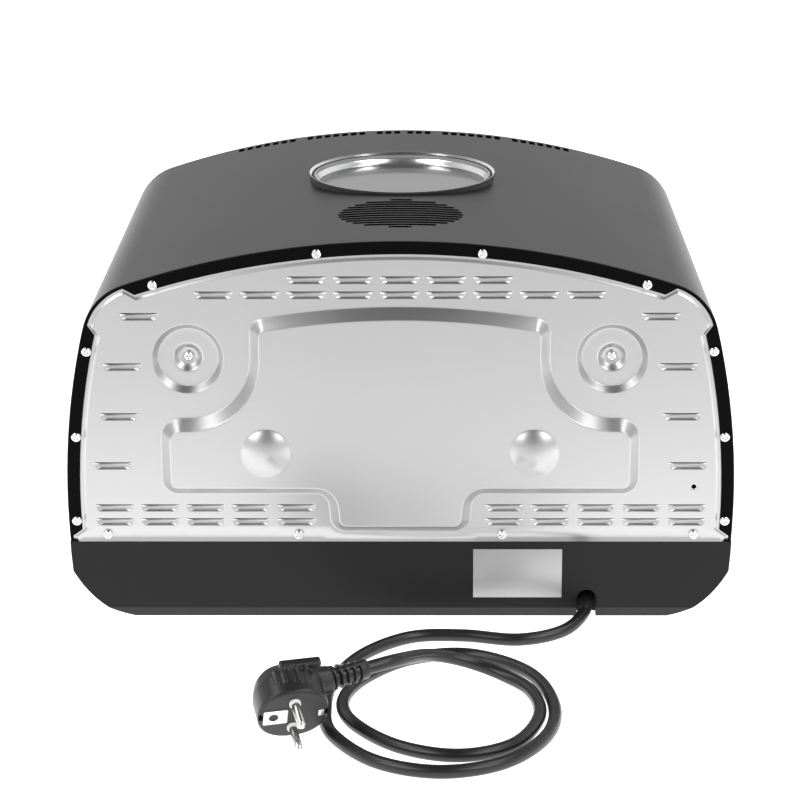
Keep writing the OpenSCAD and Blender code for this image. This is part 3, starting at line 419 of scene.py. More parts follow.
PIN_METAL = Plated("pin_metal", "pin_nickel", (0.78, 0.77, 0.75), 0.16)
CONTACT_METAL = Plated("contact_metal", "pin_nickel", (0.80, 0.80, 0.78), 0.38, 0.08)
COPPER = Plated("copper", "copper", (0.72, 0.40, 0.26), 0.3)
CORD_SHEATH = Rubber("cord_sheath", "cord_rubber", (0.006, 0.006, 0.006), 0.32, 0.03)
SEAL_RUBBER = Rubber("seal_rubber", "seal_rubber", (0.010, 0.010, 0.010), 0.6, gloss=0.3)
WIRE_SLEEVE = Rubber("wire_sleeve", "wire", (0.26, 0.06, 0.04), 0.45)
# The roof glass is dark and lets little light through: painted shade of the oven's inside seen through the window
ROOF_GLASS = Pane("roof_glass", "window_glass", (0.13, 0.135, 0.135), 0.12, clear=0.30)
DOOR_GLASS = Pane("door_glass_pane", "window_glass", (0.42, 0.44, 0.44), 0.03)
WOOL = Mineral("mineral_wool", "wool", (0.66, 0.62, 0.50), 0.95, (0.45, 0.40, 0.30), 260.0, 0.5)
CERAMIC = Mineral("ceramic", "ceramic", (0.80, 0.78, 0.72), 0.7, (0.66, 0.63, 0.56), 900.0, 0.02)
FIRED_STONE = Mineral("fired_stone", "stone", (0.66, 0.56, 0.42), 0.85, (0.34, 0.27, 0.19), 420.0, 0.12)
DIAL_PRINT = Paint("dial_print", "base_plastic", (0.62, 0.62, 0.60), 0.5)
RED_LENS = Lens("red_lens", "lamp_red", (0.45, 0.03, 0.02), 0.15)
GREEN_LENS = Lens("green_lens", "lamp_green", (0.03, 0.30, 0.06), 0.15)

NODE_FINISHES: dict[str, Finish] = {
    "base_tub": BASE_MOULD, "bottom_cover": ZINC, "bottom_screws": SCREW_METAL, "rubber_feet": SEAL_RUBBER,
    "base_deck": ZINC, "control_panel": PRINTED_PANEL, "temperature_knob": KNOB_MOULD,
    "temperature_shaft": SCREW_METAL, "thermostat": SWITCH_MOULD, "thermostat_probe": COPPER,
    "timer_knob": KNOB_MOULD, "timer_shaft": SCREW_METAL, "timer_body": SWITCH_MOULD,
    "power_lamp": RED_LENS, "heat_lamp": GREEN_LENS, "terminal_block": SWITCH_MOULD, "cord_clamp": BASE_MOULD,
    "wiring_loom": WIRE_SLEEVE, "roof_cover": ROOF_PAINT, "rear_panel": PANEL_SHEET,
    "flange_screws": SCREW_METAL, "lower_screws": SCREW_METAL, "dish_screws": SCREW_METAL,
    "window_bezel": RING_METAL, "window_gasket": SEAL_RUBBER, "window_glass": ROOF_GLASS,
    "window_collar": LINER_SHEET, "inner_glass": ROOF_GLASS, "front_frame": ROOF_PAINT,
    "liner_shell": LINER_SHEET, "liner_rear": LINER_SHEET, "liner_floor": LINER_SHEET, "liner_feet": ZINC,
    "insulation": WOOL, "upper_element": ROD_METAL, "lower_element": ROD_METAL, "element_bushes": CERAMIC,
    "element_clips": LINER_SHEET, "stone_stand": ZINC, "pizza_stone": FIRED_STONE,
    "door_shell": DOOR_PAINT, "door_liner": LINER_SHEET, "door_glass": DOOR_GLASS, "door_seal": SEAL_RUBBER,
    "door_screws": SCREW_METAL, "handle_bar": HANDLE_METAL, "handle_posts": HANDLE_METAL,
    "hinge_brackets": ZINC, "hinge_pins": SCREW_METAL, "mains_cord": CORD_SHEATH, "cord_sleeve": CORD_SHEATH,
    "plug_body": PLUG_MOULD, "plug_pins": PIN_METAL, "pin_sleeves": COLLAR_MOULD, "plug_contacts": PIN_METAL,
}


# Shaping


def publish(
    shape: Shape,
    name: str,
    finish: Finish,
    body: Body = Body.HOUSING,
    replaces: Sequence[str] = (),
    crease: float = 32.0,
    second: Finish | None = None,
) -> bpy.types.Object:
    """Makes a finished piece from a mesh in millimetres.

    Args:
        shape: The mesh, freed afterwards.
        name: The piece's name.
        finish: Its finish.
        body: The body it rides on.
        replaces: CAD nodes that it stands for.
        crease: Edges sharper than this many degrees stay sharp.
        second: The finish of faces whose material index is 1.

    Returns:
        The piece.
    """
    bmesh.ops.scale(shape, vec=(MM, MM, MM), verts=shape.verts)
    mesh = bpy.data.meshes.new(name)
    shape.to_mesh(mesh)
    shape.free()
    piece = bpy.data.objects.new(name, mesh)
    bpy.context.scene.collection.objects.link(piece)
    mesh.shade_smooth()
    mesh.set_sharp_from_angle(angle=math.radians(crease))
    for each in (finish, second):
        if each:
            mesh.materials.append(each.material())
    settle(piece, body, replaces)
    return piece


def settle(piece: bpy.types.Object, body: Body, replaces: Sequence[str] = ()) -> None:
    """Rides a piece on its body."""
    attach(piece, body.value)
    if replaces:
        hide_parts(*replaces)
    LOG.info("%s rides on %s", piece.name, body.value)


def eased(corners: Sequence[Flat], radius: float, steps: int = 3) -> list[Flat]:
    """A profile with its inner corners rounded.

    Args:
        corners: The profile's points.
        radius: The radius, made smaller where a side is too short for it.
        steps: Sides of each rounding.

    Returns:
        The rounded profile.
    """
    points = [Vector(c) for c in corners]
    found = [points[0]]
    for before, corner, after in zip(points, points[1:], points[2:]):
        back, on = before - corner, after - corner
        half = back.angle(on) / 2
        reach = min(radius / math.tan(half), back.length * 0.48, on.length * 0.48)
        centre = corner + (back.normalized() + on.normalized()).normalized() * reach / math.cos(half)
        first = corner + back.normalized() * reach - centre
        last = corner + on.normalized() * reach - centre
        for k in range(steps + 1):
            found.append(centre + first.lerp(last, k / steps).normalized() * first.length)
    return [tuple(p) for p in found + [points[-1]]]


def chain(shape: Shape, points: Iterable[Point], closed: bool = True) -> Edges:
    """Adds points joined by edges.

    Args:
        shape: The mesh.
        points: The places, in order.
        closed: Whether the last point joins the first.

    Returns:
        The edges.
    """
    spots = [shape.verts.new(p) for p in points]
    pairs = zip(spots, spots[1:] + (spots[:1] if closed else []))
    return [shape.edges.new(pair) for pair in pairs]


def carry(shape: Shape, edges: Edges, to: Callable[[bmesh.types.BMVert], Point]) -> Edges:
    """Extrudes edges and puts their new points where a function says.

    Args:
        shape: The mesh.
        edges: The edges to extrude.
        to: The new place of a copied point.

    Returns:
        The new edges.
    """
    grown = bmesh.ops.extrude_edge_only(shape, edges=edges)["geom"]
    for point in (g for g in grown if isinstance(g, bmesh.types.BMVert)):
        point.co = Vector(to(point))
    return [g for g in grown if isinstance(g, bmesh.types.BMEdge)]


def revolve(profile: Sequence[Flat], steps: int) -> Shape:
    """A turned shape about Z.

    Args:
        profile: Radius and height, from one end to the other.
        steps: Facets round the axis.

    Returns:
        The mesh, with its doubles merged and its faces outwards.
    """
    shape = bmesh.new()
    edges = chain(shape, ((r, 0.0, z) for r, z in profile), closed=False)
    bmesh.ops.spin(
        shape, geom=list(shape.verts) + edges, cent=(0, 0, 0), axis=(0, 0, 1),
        angle=math.tau, steps=steps, use_merge=True, use_duplicate=False,
    )
    bmesh.ops.remove_doubles(shape, verts=shape.verts, dist=1e-4)
    bmesh.ops.recalc_face_normals(shape, faces=shape.faces)
    return shape


def moved(shape: Shape, place: Matrix) -> Shape:
    """The mesh, moved."""
    bmesh.ops.transform(shape, matrix=place, verts=shape.verts)
    return shape


def added(shape: Shape, extra: Shape) -> Shape:
    """The first mesh with the second in it."""
    spare = bpy.data.meshes.new("spare")
    extra.to_mesh(spare)
    extra.free()
    shape.from_mesh(spare)
    bpy.data.meshes.remove(spare)
    return shape


def block(centre: Point, size: Point, soft: float = 0.0, segments: int = 2) -> Shape:
    """A block with softened edges."""
    shape = bmesh.new()
    bmesh.ops.create_cube(shape, size=1.0, matrix=Matrix.Translation(centre) @ Matrix.Diagonal((*size, 1.0)))
    if soft:
        bmesh.ops.bevel(
            shape, geom=list(shape.edges), offset=soft, segments=segments, profile=0.5,
            affect="EDGES", material=-1,
        )
    return shape


def thicken(piece: bpy.types.Object, sheet_mm: float) -> None:
    """Gives a sheet its thickness, inwards."""
    wall = piece.modifiers.new("thickness", "SOLIDIFY")
    wall.thickness, wall.offset = sheet_mm * MM, -1.0


def soften(piece: bpy.types.Object, width_mm: float, segments: int = 2, angle: float = 40.0) -> None:
    """Rounds a piece's sharp edges."""
    edge = piece.modifiers.new("edges", "BEVEL")
    edge.width, edge.segments, edge.limit_method = width_mm * MM, segments, "ANGLE"
    edge.angle_limit, edge.harden_normals = math.radians(angle), True
    edge.use_clamp_overlap = True


def softened(node: str, name: str, body: Body = Body.HOUSING, width_mm: float = 0.5) -> bpy.types.Object:
    """A piece made from a merged copy of a CAD node, with rounded edges.

    Args:
        node: The CAD node, which the piece replaces.
        name: The piece's name.
        body: The body it rides on.
        width_mm: The width of the rounding.

    Returns:
        The piece.
    """
    shape = bmesh.new()
    shape.from_mesh(frame["nodes"][node].data)
    bmesh.ops.scale(shape, vec=(1 / MM, 1 / MM, 1 / MM), verts=shape.verts)
    bmesh.ops.remove_doubles(shape, verts=shape.verts, dist=0.01)
    bmesh.ops.dissolve_limit(
        shape, angle_limit=math.radians(0.5), verts=list(shape.verts), edges=list(shape.edges)
    )
    piece = publish(shape, name, NODE_FINISHES[node], body, (node,))
    soften(piece, width_mm)
    return piece


FACING_BACK = Matrix.Rotation(math.radians(-90), 4, "X")
FACING_FRONT = Matrix.Rotation(math.radians(90), 4, "X")
REAR_Y = 183.5
FRONT_Y = -141.5
SHEET = 1.0


@dataclass(frozen=True)
class Arch:
    """The housing's outline: a roof arc, then a shoulder and a side on each hand."""

    arcs: tuple[tuple[float, float, float, float], ...] = (
        (525.0, 0.0, -281.0, 18.51), (38.0, 154.6, 180.8, 57.53), (456.0, -251.0, 80.0, 17.39),
    )
    steps: tuple[int, ...] = (16, 14, 12)

    def at(self, along: float, inset: float = 0.0) -> Flat:
        """The point at a distance from the roof's middle.

        Args:
            along: Distance on the outline, negative towards -X.
            inset: How far it lies inside the outline.

        Returns:
            Its X and Z.
        """
        left, angle = abs(along), math.radians(90)
        for radius, x, z, turn in self.arcs:
            part = min(math.radians(turn), left / radius)
            angle -= part
            left -= part * radius
            if left < 1e-6:
                break
        return (
            math.copysign(x + (radius - inset) * math.cos(angle), along or 1.0),
            z + (radius - inset) * math.sin(angle),
        )

    def outward(self, x: float, z: float) -> Vector:
        """The outline's own normal beside a point."""
        total, away = 0.0, Vector((0.0, 0.0, 1.0))
        for _, middle, level, turn in self.arcs:
            total += turn
            away = Vector((abs(x) - middle, 0.0, z - level)).normalized()
            if math.degrees(math.atan2(away.x, away.z)) <= total:
                break
        return Vector((math.copysign(away.x, x), 0.0, away.z))

    def half(self) -> float:
        """The length of one half."""
        return sum(r * math.radians(turn) for r, _, _, turn in self.arcs)

    def stations(self, extra: Sequence[float]) -> list[float]:
        """Distances at which a sheet bends, with extra ones on both hands."""
        found, start = {0.0, *extra}, 0.0
        for (radius, _, _, turn), count in zip(self.arcs, self.steps):
            reach = radius * math.radians(turn)
            found |= {start + reach * (k + 1) / count for k in range(count)}
            start += reach
        near = sorted(found)
        kept = [s for i, s in enumerate(near) if s in extra or i == 0 or s == near[-1]
                or min(abs(s - e) for e in extra) > 0.8]
        return [-s for s in reversed(kept[1:])] + kept


ARCH = Arch()


@dataclass
class Studio:
    """Camera, floor and lights."""

    focal_mm: float = 116.73
    eye: Point = (-15.7, 1684.4, 623.8)
    aim: Flat = (0.0, 183.5)
    pitch: float = 17.7
    roll: float = -0.2
    room: float = 1.0
    behind_camera: float = 0.30
    overhead: float = 0.10
    softbox_power: float = 24.0
    overhead_power: float = 5.0
    paper: float = 0.40
    # The floor's glow as painted light: strongest near the object, weaker far away, stronger again to the sides
    near_glow: float = 1.45
    far_glow: float = 0.58
    side_glow: float = 0.6

    def build(self) -> None:
        """Makes the camera, the floor and the lights."""
        scene = bpy.context.scene
        lens = bpy.data.cameras.new("camera")
        lens.lens, lens.sensor_width, lens.clip_end = self.focal_mm, 36.0, 50.0
        camera = bpy.data.objects.new("camera", lens)
        scene.collection.objects.link(camera)
        eye = Vector(self.eye)
        flat = Vector((self.aim[0] - eye.x, self.aim[1] - eye.y, 0.0)).normalized()
        heading = flat * math.cos(math.radians(self.pitch)) - Vector((0, 0, math.sin(math.radians(self.pitch))))
        camera.location = eye * MM
        level = heading.to_track_quat("-Z", "Y") @ Quaternion((0.0, 0.0, 1.0), math.radians(self.roll))
        camera.rotation_euler = level.to_euler()
        scene.camera = camera
        scene.view_settings.view_transform = "Standard"
        self.floor()
        self.sky()
        for side, name in ((-1, "right"), (1, "left")):
            self.softbox(f"softbox_{name}", (side * 1.5, 1.5, 1.7), 1.3, self.softbox_power)
            self.softbox(f"overhead_{name}", (side * 0.85, 0.15, 1.6), 0.5, self.overhead_power)

    def floor(self) -> None:
        """A pale floor that glows from below as painted light, brightest near the object and to the sides."""
        shape = bmesh.new()
        bmesh.ops.create_grid(shape, x_segments=2, y_segments=2, size=9.0)
        mesh = bpy.data.meshes.new("floor")
        shape.to_mesh(mesh)
        shape.free()
        floor = bpy.data.objects.new("floor", mesh)
        bpy.context.scene.collection.objects.link(floor)
        paper = bpy.data.materials.new("floor")
        paper.use_nodes = True
        maker = NodeMaker(paper.node_tree)
        here = maker.make("ShaderNodeTexCoord", {}, {}, "Object")
        across = maker.make("ShaderNodeSeparateXYZ", {}, {0: here}, "X")
        away = Wire(maker, across.socket.node.outputs["Y"])
        aside = maker.make("ShaderNodeMath", {"operation": "ABSOLUTE"}, {0: across})
        # Painted light: the floor glows more near the object and to the sides
        glow = self.near_glow - away.smooth(0.34, 0.85) * (self.near_glow - self.far_glow)
        glow = glow + aside.smooth(0.28, 0.60) * self.side_glow
        maker.shade({
            "Base Color": (self.paper, self.paper, self.paper, 1.0), "Roughness": 0.9,
            "Specular IOR Level": 0.1, "Emission Color": glow, "Emission Strength": 1.0,
        })
        mesh.materials.append(paper)

    def sky(self) -> None:
        """A white room that is darker overhead and behind the camera."""
        world = bpy.data.worlds.new("studio")
        bpy.context.scene.world = world
        world.use_nodes = True
        maker = NodeMaker(world.node_tree)
        way = maker.make("ShaderNodeTexCoord", {}, {}, "Generated")
        split = maker.make("ShaderNodeSeparateXYZ", {}, {0: way}, "Y")
        height = Wire(maker, split.socket.node.outputs["Z"])
        dim = split.smooth(-0.2, 0.75) * height.smooth(0.10, 0.40) * (1.0 - self.behind_camera)
        roof = height.smooth(0.35, 0.95) * (1.0 - self.overhead)
        strength = (1.0 - dim) * (1.0 - roof) * self.room
        glow = maker.make("ShaderNodeBackground", {}, {"Color": (1.0, 1.0, 1.0, 1.0), "Strength": strength})
        maker.make("ShaderNodeOutputWorld", {}, {"Surface": glow})

    def softbox(self, name: str, place: Point, size: float, power: float) -> None:
        """One square light that looks at the object."""
        lamp = bpy.data.lights.new(name, "AREA")
        lamp.shape, lamp.size, lamp.energy = "SQUARE", size, power
        light = bpy.data.objects.new(name, lamp)
        bpy.context.scene.collection.objects.link(light)
        light.location = place
        light.rotation_euler = (Vector((0.0, 0.1, 0.1)) - Vector(place)).to_track_quat("-Z", "Y").to_euler()


@dataclass
class RoofSheet:
    """The painted roof: one bent sheet with vents and a folded flange at each end."""

    fold: float = 1.2
    fold_steps: int = 4
    hole_r: float = 60.0
    window_y: float = 1.5
    grille_y: float = 111.5
    grille_r: float = 38.0
    slot_w: float = 4.3
    slot_pitch: float = 5.9
    front_slot: tuple[float, float, float] = (4.2, 9.0, -136.5)
    front_pitch: float = 6.2
    front_flange: float = 6.0
    flange: tuple[Flat, ...] = (
        (0.0, 8.0), (164.5, 8.0), (170.0, 2.1), (205.5, 2.1), (210.5, 8.0), (338.5, 8.0), (342.5, 1.8), (346.2, 1.8),
    )

    def flange_width(self, along: float) -> float:
        """The rear flange's width, less round the shoulders."""
        there = abs(along)
        for (a, low), (b, high) in zip(self.flange, self.flange[1:]):
            if there <= b:
                return low + (high - low) * (there - a) / (b - a)
        return self.flange[-1][1]

    def bends(self) -> list[float]:
        """Where the sheet's facets meet, with the flange's corners."""
        return ARCH.stations([s for s, _ in self.flange[1:-1]])

    def build(self) -> None:
        """Cuts the flat sheet, bends it and folds its flanges."""
        shape = bmesh.new()
        low, high, half = FRONT_Y + self.fold, REAR_Y - self.fold, ARCH.half()
        chain(shape, [(-half, low, 0), (half, low, 0), (half, high, 0), (-half, high, 0)])
        self.cut_vents(shape)
        bmesh.ops.triangle_fill(shape, use_beauty=True, edges=list(shape.edges), normal=(0, 0, 1))
        for bend in self.bends()[1:-1]:
            bmesh.ops.bisect_plane(
                shape, geom=list(shape.verts) + list(shape.edges) + list(shape.faces), dist=1e-4,
                plane_co=(bend, 0, 0), plane_no=(1, 0, 0),
            )
        along = shape.verts.layers.float.new("along")
        for point in shape.verts:
            point[along] = point.co.x
            x, z = ARCH.at(point.co.x)
            point.co = (x, point.co.y, z)
        self.fold_end(shape, along, high, 1.0, self.flange_width)
        # Faces on the rear flange take the second material, the darker copy of the roof paint, as painted shade
        for face in shape.faces:
            face.material_index = int(min(v.co.y for v in face.verts) > REAR_Y - 0.5)
        self.fold_end(shape, along, low, -1.0, lambda s: self.front_flange)
        bmesh.ops.recalc_face_normals(shape, faces=shape.faces)
        turned_out(shape, (0, 0, 1))
        bmesh.ops.solidify(shape, geom=list(shape.faces), thickness=SHEET)
        # The vents' cut edges take the darker copy too, as painted shade inside the slots
        for face in shape.faces:
            x, y, z = face.calc_center_median()
            if low < y < high and abs(face.normal.dot(ARCH.outward(x, z))) < 0.5:
                face.material_index = 1
        roof = publish(shape, "roof_sheet", ROOF_PAINT, replaces=("roof_cover",), second=SHADED_ROOF_PAINT)
        self.true_normals(roof.data)

    def true_normals(self, mesh: bpy.types.Mesh) -> None:
        """Gives the bent skins the outline's own normals, so that no triangle between the vents shows."""
        normals = [Vector(n.vector) for n in mesh.corner_normals]
        low, high = (FRONT_Y + self.fold - 0.01) * MM, (REAR_Y - self.fold + 0.01) * MM
        for face in mesh.polygons:
            way = face.normal.dot(ARCH.outward(face.center.x / MM, face.center.z / MM))
            if abs(way) < 0.9 or not all(low < mesh.vertices[v].co.y < high for v in face.vertices):
                continue
            for corner, v in zip(face.loop_indices, face.vertices):
                spot = mesh.vertices[v].co
                normals[corner] = ARCH.outward(spot.x / MM, spot.z / MM) * math.copysign(1.0, way)
        mesh.normals_split_custom_set(normals)

    def cut_vents(self, shape: Shape) -> None:
        """Outlines of the window's hole, the round grille and the front slots."""
        radius = ARCH.arcs[0][0]
        spots = [math.tau * k / 96 for k in range(96)]
        chain(shape, [
            (radius * math.asin(self.hole_r * math.cos(a) / radius), self.window_y + self.hole_r * math.sin(a), 0)
            for a in spots])
        count = int((self.grille_r - self.slot_w / 2) / self.slot_pitch)
        for i in range(-count, count + 1):
            edge = abs(i) * self.slot_pitch + self.slot_w / 2
            half = math.sqrt(self.grille_r ** 2 - edge ** 2) + 1.2
            self.slot(shape, (0.0, self.grille_y + i * self.slot_pitch), (2 * half, self.slot_w), 1.0)
        wide, long, y = self.front_slot
        for first, number in ((4.6, 3), (29.5, 7), (79.3, 7)):
            for i in range(number):
                for side in (-1, 1):
                    self.slot(shape, (side * (first + i * self.front_pitch), y + long / 2), (wide, long), 1.2)

    def slot(self, shape: Shape, centre: Flat, size: Flat, soft: float) -> None:
        """The outline of one slot, with rounded corners."""
        (x, y), (w, h) = centre, (size[0] / 2, size[1] / 2)
        corners = [(0, -h), (w, -h), (w, h), (-w, h), (-w, -h), (0, -h)]
        chain(shape, [(x + u, y + v, 0) for u, v in eased(corners, soft, 2)[:-1]])

    def fold_end(
        self, shape: Shape, along: bmesh.types.BMLayerItem, start: float, way: float,
        width: Callable[[float], float],
    ) -> None:
        """Folds the sheet's end round a small radius and draws its flange inwards.

        Args:
            shape: The bent sheet.
            along: The layer with each point's place on the outline.
            start: The Y where the fold begins.
            way: 1 at the rear and -1 at the front.
            width: The flange's width at a place on the outline.
        """
        def rung(inset: Callable[[float], float], y: float) -> Callable[[bmesh.types.BMVert], Point]:
            """The place of a point at an inset and a depth."""
            def to(point: bmesh.types.BMVert) -> Point:
                """Its new place."""
                x, z = ARCH.at(point[along], inset(point[along]))
                return (x, y, z)
            return to

        edges = [e for e in shape.edges if e.is_boundary and all(abs(v.co.y - start) < 1e-3 for v in e.verts)]
        for k in range(1, self.fold_steps + 1):
            turn = math.radians(90 * k / self.fold_steps)
            inset = self.fold * (1 - math.cos(turn))
            edges = carry(shape, edges, rung(lambda s, d=inset: d, start + way * self.fold * math.sin(turn)))
        end = start + way * self.fold
        edges = carry(shape, edges, rung(lambda s: self.fold + 0.25, end))
        carry(shape, edges, rung(width, end))


def turned_out(shape: Shape, way: Point) -> None:
    """Turns all faces over if most of the area faces away from a direction."""
    if sum(f.normal.dot(Vector(way)) * f.calc_area() for f in shape.faces) < 0:
        bmesh.ops.reverse_faces(shape, faces=shape.faces)


@dataclass
class RearPanel:
    """The pressed rear panel: border, plateau, dishes, domes and louvres."""

    rise: float = 8.0
    wall: float = 6.5
    corners: tuple[tuple[float, float, float], ...] = (
        (90.9, 195.5, 10.0), (90.9, 133.3, 37.5), (146.0, 133.3, 13.0),
        (146.0, 84.4, 10.0), (44.5, 84.4, 8.0), (42.5, 59.7, 10.0),
    )
    apex: tuple[float, float, float] = (0.0, 208.2, 485.0)
    round_steps: int = 8
    dish: Flat = (128.4, 170.8)
    dome: Flat = (81.6, 113.3)
    spare_hole: Flat = (-180.0, 88.9)
    bottom: float = 53.0
    side_shift: dict[float, float] = field(
        default_factory=lambda: {104.8: 1.6, 136.4: -0.25, 168.1: 1.75, 199.7: -1.9})
    louvre_half: float = 11.75
    louvre_h: float = 4.7
    louvre_tilt: float = 0.05

    def build(self) -> None:
        """Presses every feature, then fills the flats between them."""
        shape = bmesh.new()
        self.border(shape)
        self.plateau(shape)
        for side in (-1, 1):
            x, z = self.dish
            self.turned(shape, self.dish_profile(), (side * x, 0.0, z), 72)
            x, z = self.dome
            self.turned(shape, self.dome_profile(), (side * x, self.rise, z), 48)
        for x, z in self.louvre_places():
            added(shape, moved(self.louvre(), Matrix.Translation((x, 0, z))))
        x, z = self.spare_hole
        rim = chain(shape, [
            (x + 2.4 * math.cos(math.tau * k / 20), 0.0, z + 2.4 * math.sin(math.tau * k / 20))
            for k in range(20)])
        for edge in rim:
            edge.seam = True
        for edge in carry(shape, rim, lambda p: (x + (p.co.x - x) / 1.6, 0.0, z + (p.co.z - z) / 1.6)):
            edge.seam = False
        for level in (0.0, self.rise):
            rims = [e for e in shape.edges
                    if e.seam and len(e.link_faces) < 2 and all(abs(v.co.y - level) < 1e-4 for v in e.verts)]
            bmesh.ops.triangle_fill(shape, use_beauty=True, edges=rims, normal=(0, 1, 0))
        bmesh.ops.recalc_face_normals(shape, faces=shape.faces)
        turned_out(shape, (0, 1, 0))
        moved(shape, Matrix.Translation((0, REAR_Y, 0)))
        panel = publish(shape, "pressed_panel", PANEL_SHEET, replaces=("rear_panel",), crease=38)
        thicken(panel, SHEET)

    def border(self, shape: Shape) -> None:
        """The field's edge, its step down to the strip, and the strip under the flange."""
        roof = RoofSheet()
        stations = roof.bends()

        def rung(extra: float | None, depth: float) -> list[Point]:
            """The outline's points at an inset beyond the flange, or under it."""
            found = []
            for s in stations:
                inset = SHEET + 0.3 if extra is None else roof.flange_width(s) + extra
                x, z = ARCH.at(s, inset)
                found.append((x, depth, self.bottom if abs(s) == stations[-1] else z))
            return found

        profile = eased([(4.2, 0.0), (3.4, 0.0), (1.7, -SHEET), (0.4, -SHEET)], 0.9)
        first = rung(*profile[0])
        edges = chain(shape, first, closed=False)
        index = shape.verts.layers.int.new("index")
        shape.verts.ensure_lookup_table()
        for k, point in enumerate(shape.verts):
            point[index] = k
        inner = [shape.verts.new((first[0][0] * (1 - k / 12), 0.0, self.bottom)) for k in range(1, 24)]
        row = [edges[0].verts[0], *inner, edges[-1].verts[1]]
        for edge in edges + [shape.edges.new(pair) for pair in zip(row, row[1:])]:
            edge.seam = True
        for extra, depth in profile[1:] + [(None, -SHEET)]:
            places = rung(extra, depth)
            edges = carry(shape, edges, lambda p: places[p[index]])

    def outline(self, inset: float) -> list[Flat]:
        """The plateau's outline with rounded corners, moved in."""
        mirrored = [(-x, z, r) for x, z, r in reversed(self.corners)]
        spots = [self.apex, *self.corners, *mirrored]
        found = []
        for i, (x, z, radius) in enumerate(spots):
            corner = Vector((x, z))
            back = (Vector(spots[i - 1][:2]) - corner).normalized()
            on = (Vector(spots[(i + 1) % len(spots)][:2]) - corner).normalized()
            half = back.angle(on) / 2
            middle = (back + on).normalized()
            centre = corner + middle * radius / math.sin(half)
            turn = 1.0 if back.x * on.y - back.y * on.x > 0 else -1.0
            sweep = math.pi - 2 * half
            first = math.atan2(-middle.y, -middle.x) + turn * sweep / 2
            steps = self.round_steps * (2 if i == 0 else 1)
            for k in range(steps + 1):
                a = first - turn * sweep * k / steps
                found.append(tuple(centre + (radius - turn * inset) * Vector((math.cos(a), math.sin(a)))))
        return found

    def plateau(self, shape: Shape) -> None:
        """The plateau's wall, drawn up ring by ring."""
        index = shape.verts.layers.int["index"]
        profile = eased([(-0.7, 0.0), (0.2, 0.0), (self.wall - 0.4, self.rise), (self.wall + 0.7, self.rise)], 1.5)
        first = self.outline(profile[0][0])
        edges = chain(shape, [(x, 0.0, z) for x, z in first])
        shape.verts.ensure_lookup_table()
        for k, point in enumerate(list(shape.verts)[-len(first):]):
            point[index] = k
        for edge in edges:
            edge.seam = True
        for inset, height in profile[1:]:
            ring = self.outline(inset)
            edges = carry(shape, edges, lambda p: (ring[p[index]][0], height, ring[p[index]][1]))
        for edge in edges:
            edge.seam = True

    @staticmethod
    def dish_profile() -> list[Flat]:
        """Radius and height from a dish's rim to the hole in its cup."""
        return [
            *eased([(22.4, 0.0), (21.6, 0.0), (18.3, -4.0), (15.6, -4.0)], 0.7),
            *eased([(10.6, -4.0), (8.8, -4.0), (5.4, -7.5), (1.8, -7.5)], 2.2, 5),
        ]

    @staticmethod
    def dome_profile() -> list[Flat]:
        """Radius and height from a dome's foot to its top."""
        ball = 25.0
        cap = [(ball * math.sin(math.radians(a)), ball * math.cos(math.radians(a)) - ball + 5.0)
               for a in (33, 29, 25, 21, 17, 13, 9, 5, 2, 0)]
        return [*eased([(16.2, 0.0), (15.0, 0.0), cap[0]], 1.6), *cap]

    @staticmethod
    def turned(shape: Shape, profile: list[Flat], place: Point, steps: int) -> None:
        """Adds a turned pressing whose outer rim is marked for filling."""
        form = revolve(profile, steps)
        rim = profile[0][0] - 1e-3
        for edge in form.edges:
            edge.seam = edge.is_boundary and all(v.co.xy.length > rim for v in edge.verts)
        added(shape, moved(form, Matrix.Translation(place) @ FACING_BACK))

    def louvre(self) -> Shape:
        """A scoop pressed in below a straight slit, with slanting ends."""
        shape = bmesh.new()
        w, h = self.louvre_half, self.louvre_h
        curve = eased([(-w, 0.0), (-w + 0.9, -h), (w - 0.9, -h), (w, 0.0)], 2.8, 4)
        outline = chain(shape, [(x, 0.0, z) for x, z in curve], closed=False)
        top = shape.edges.new((outline[0].verts[0], outline[-1].verts[1]))
        rim = carry(shape, outline + [top], lambda p: (
            p.co.x * (1 + 0.5 / w), 0.0, 0.5 if p.co.z > -1e-4 else p.co.z * (1 + 0.5 / h)))
        for edge in rim:
            edge.seam = True
        edges, before = outline, (1.0, 1.0)
        for across, down, depth in ((0.98, 0.97, 0.08), (0.94, 0.93, 0.30), (0.78, 0.84, 1.20), (0.74, 0.80, 1.35)):
            grow = (across / before[0], down / before[1])
            edges = carry(shape, edges, lambda p: (
                p.co.x * grow[0],
                -depth * (1.0 + self.louvre_tilt * (1.0 + p.co.z / (before[1] * h))),
                p.co.z * grow[1],
            ))
            before = (across, down)
        ends = [v for e in edges for v in e.verts if v.co.z > -1e-4]
        bmesh.ops.edgenet_fill(shape, edges=edges + [shape.edges.new(ends)])
        return shape

    def louvre_places(self) -> list[Flat]:
        """The middle of every louvre's slit."""
        found = [(28.0 * i, 222.4) for i in range(-2, 3)] + [(28.0 * i, 213.1) for i in range(-4, 5)]
        for side in (-1, 1):
            for z in self.side_shift:
                found.append((side * (math.sqrt(456.0 ** 2 - (z - 80.0) ** 2) - 281.0 + self.side_shift[z]), z))
            found += [(side * (63.9 + 28.0 * i), z) for z in (77.4, 68.3) for i in range(5)]
        return found


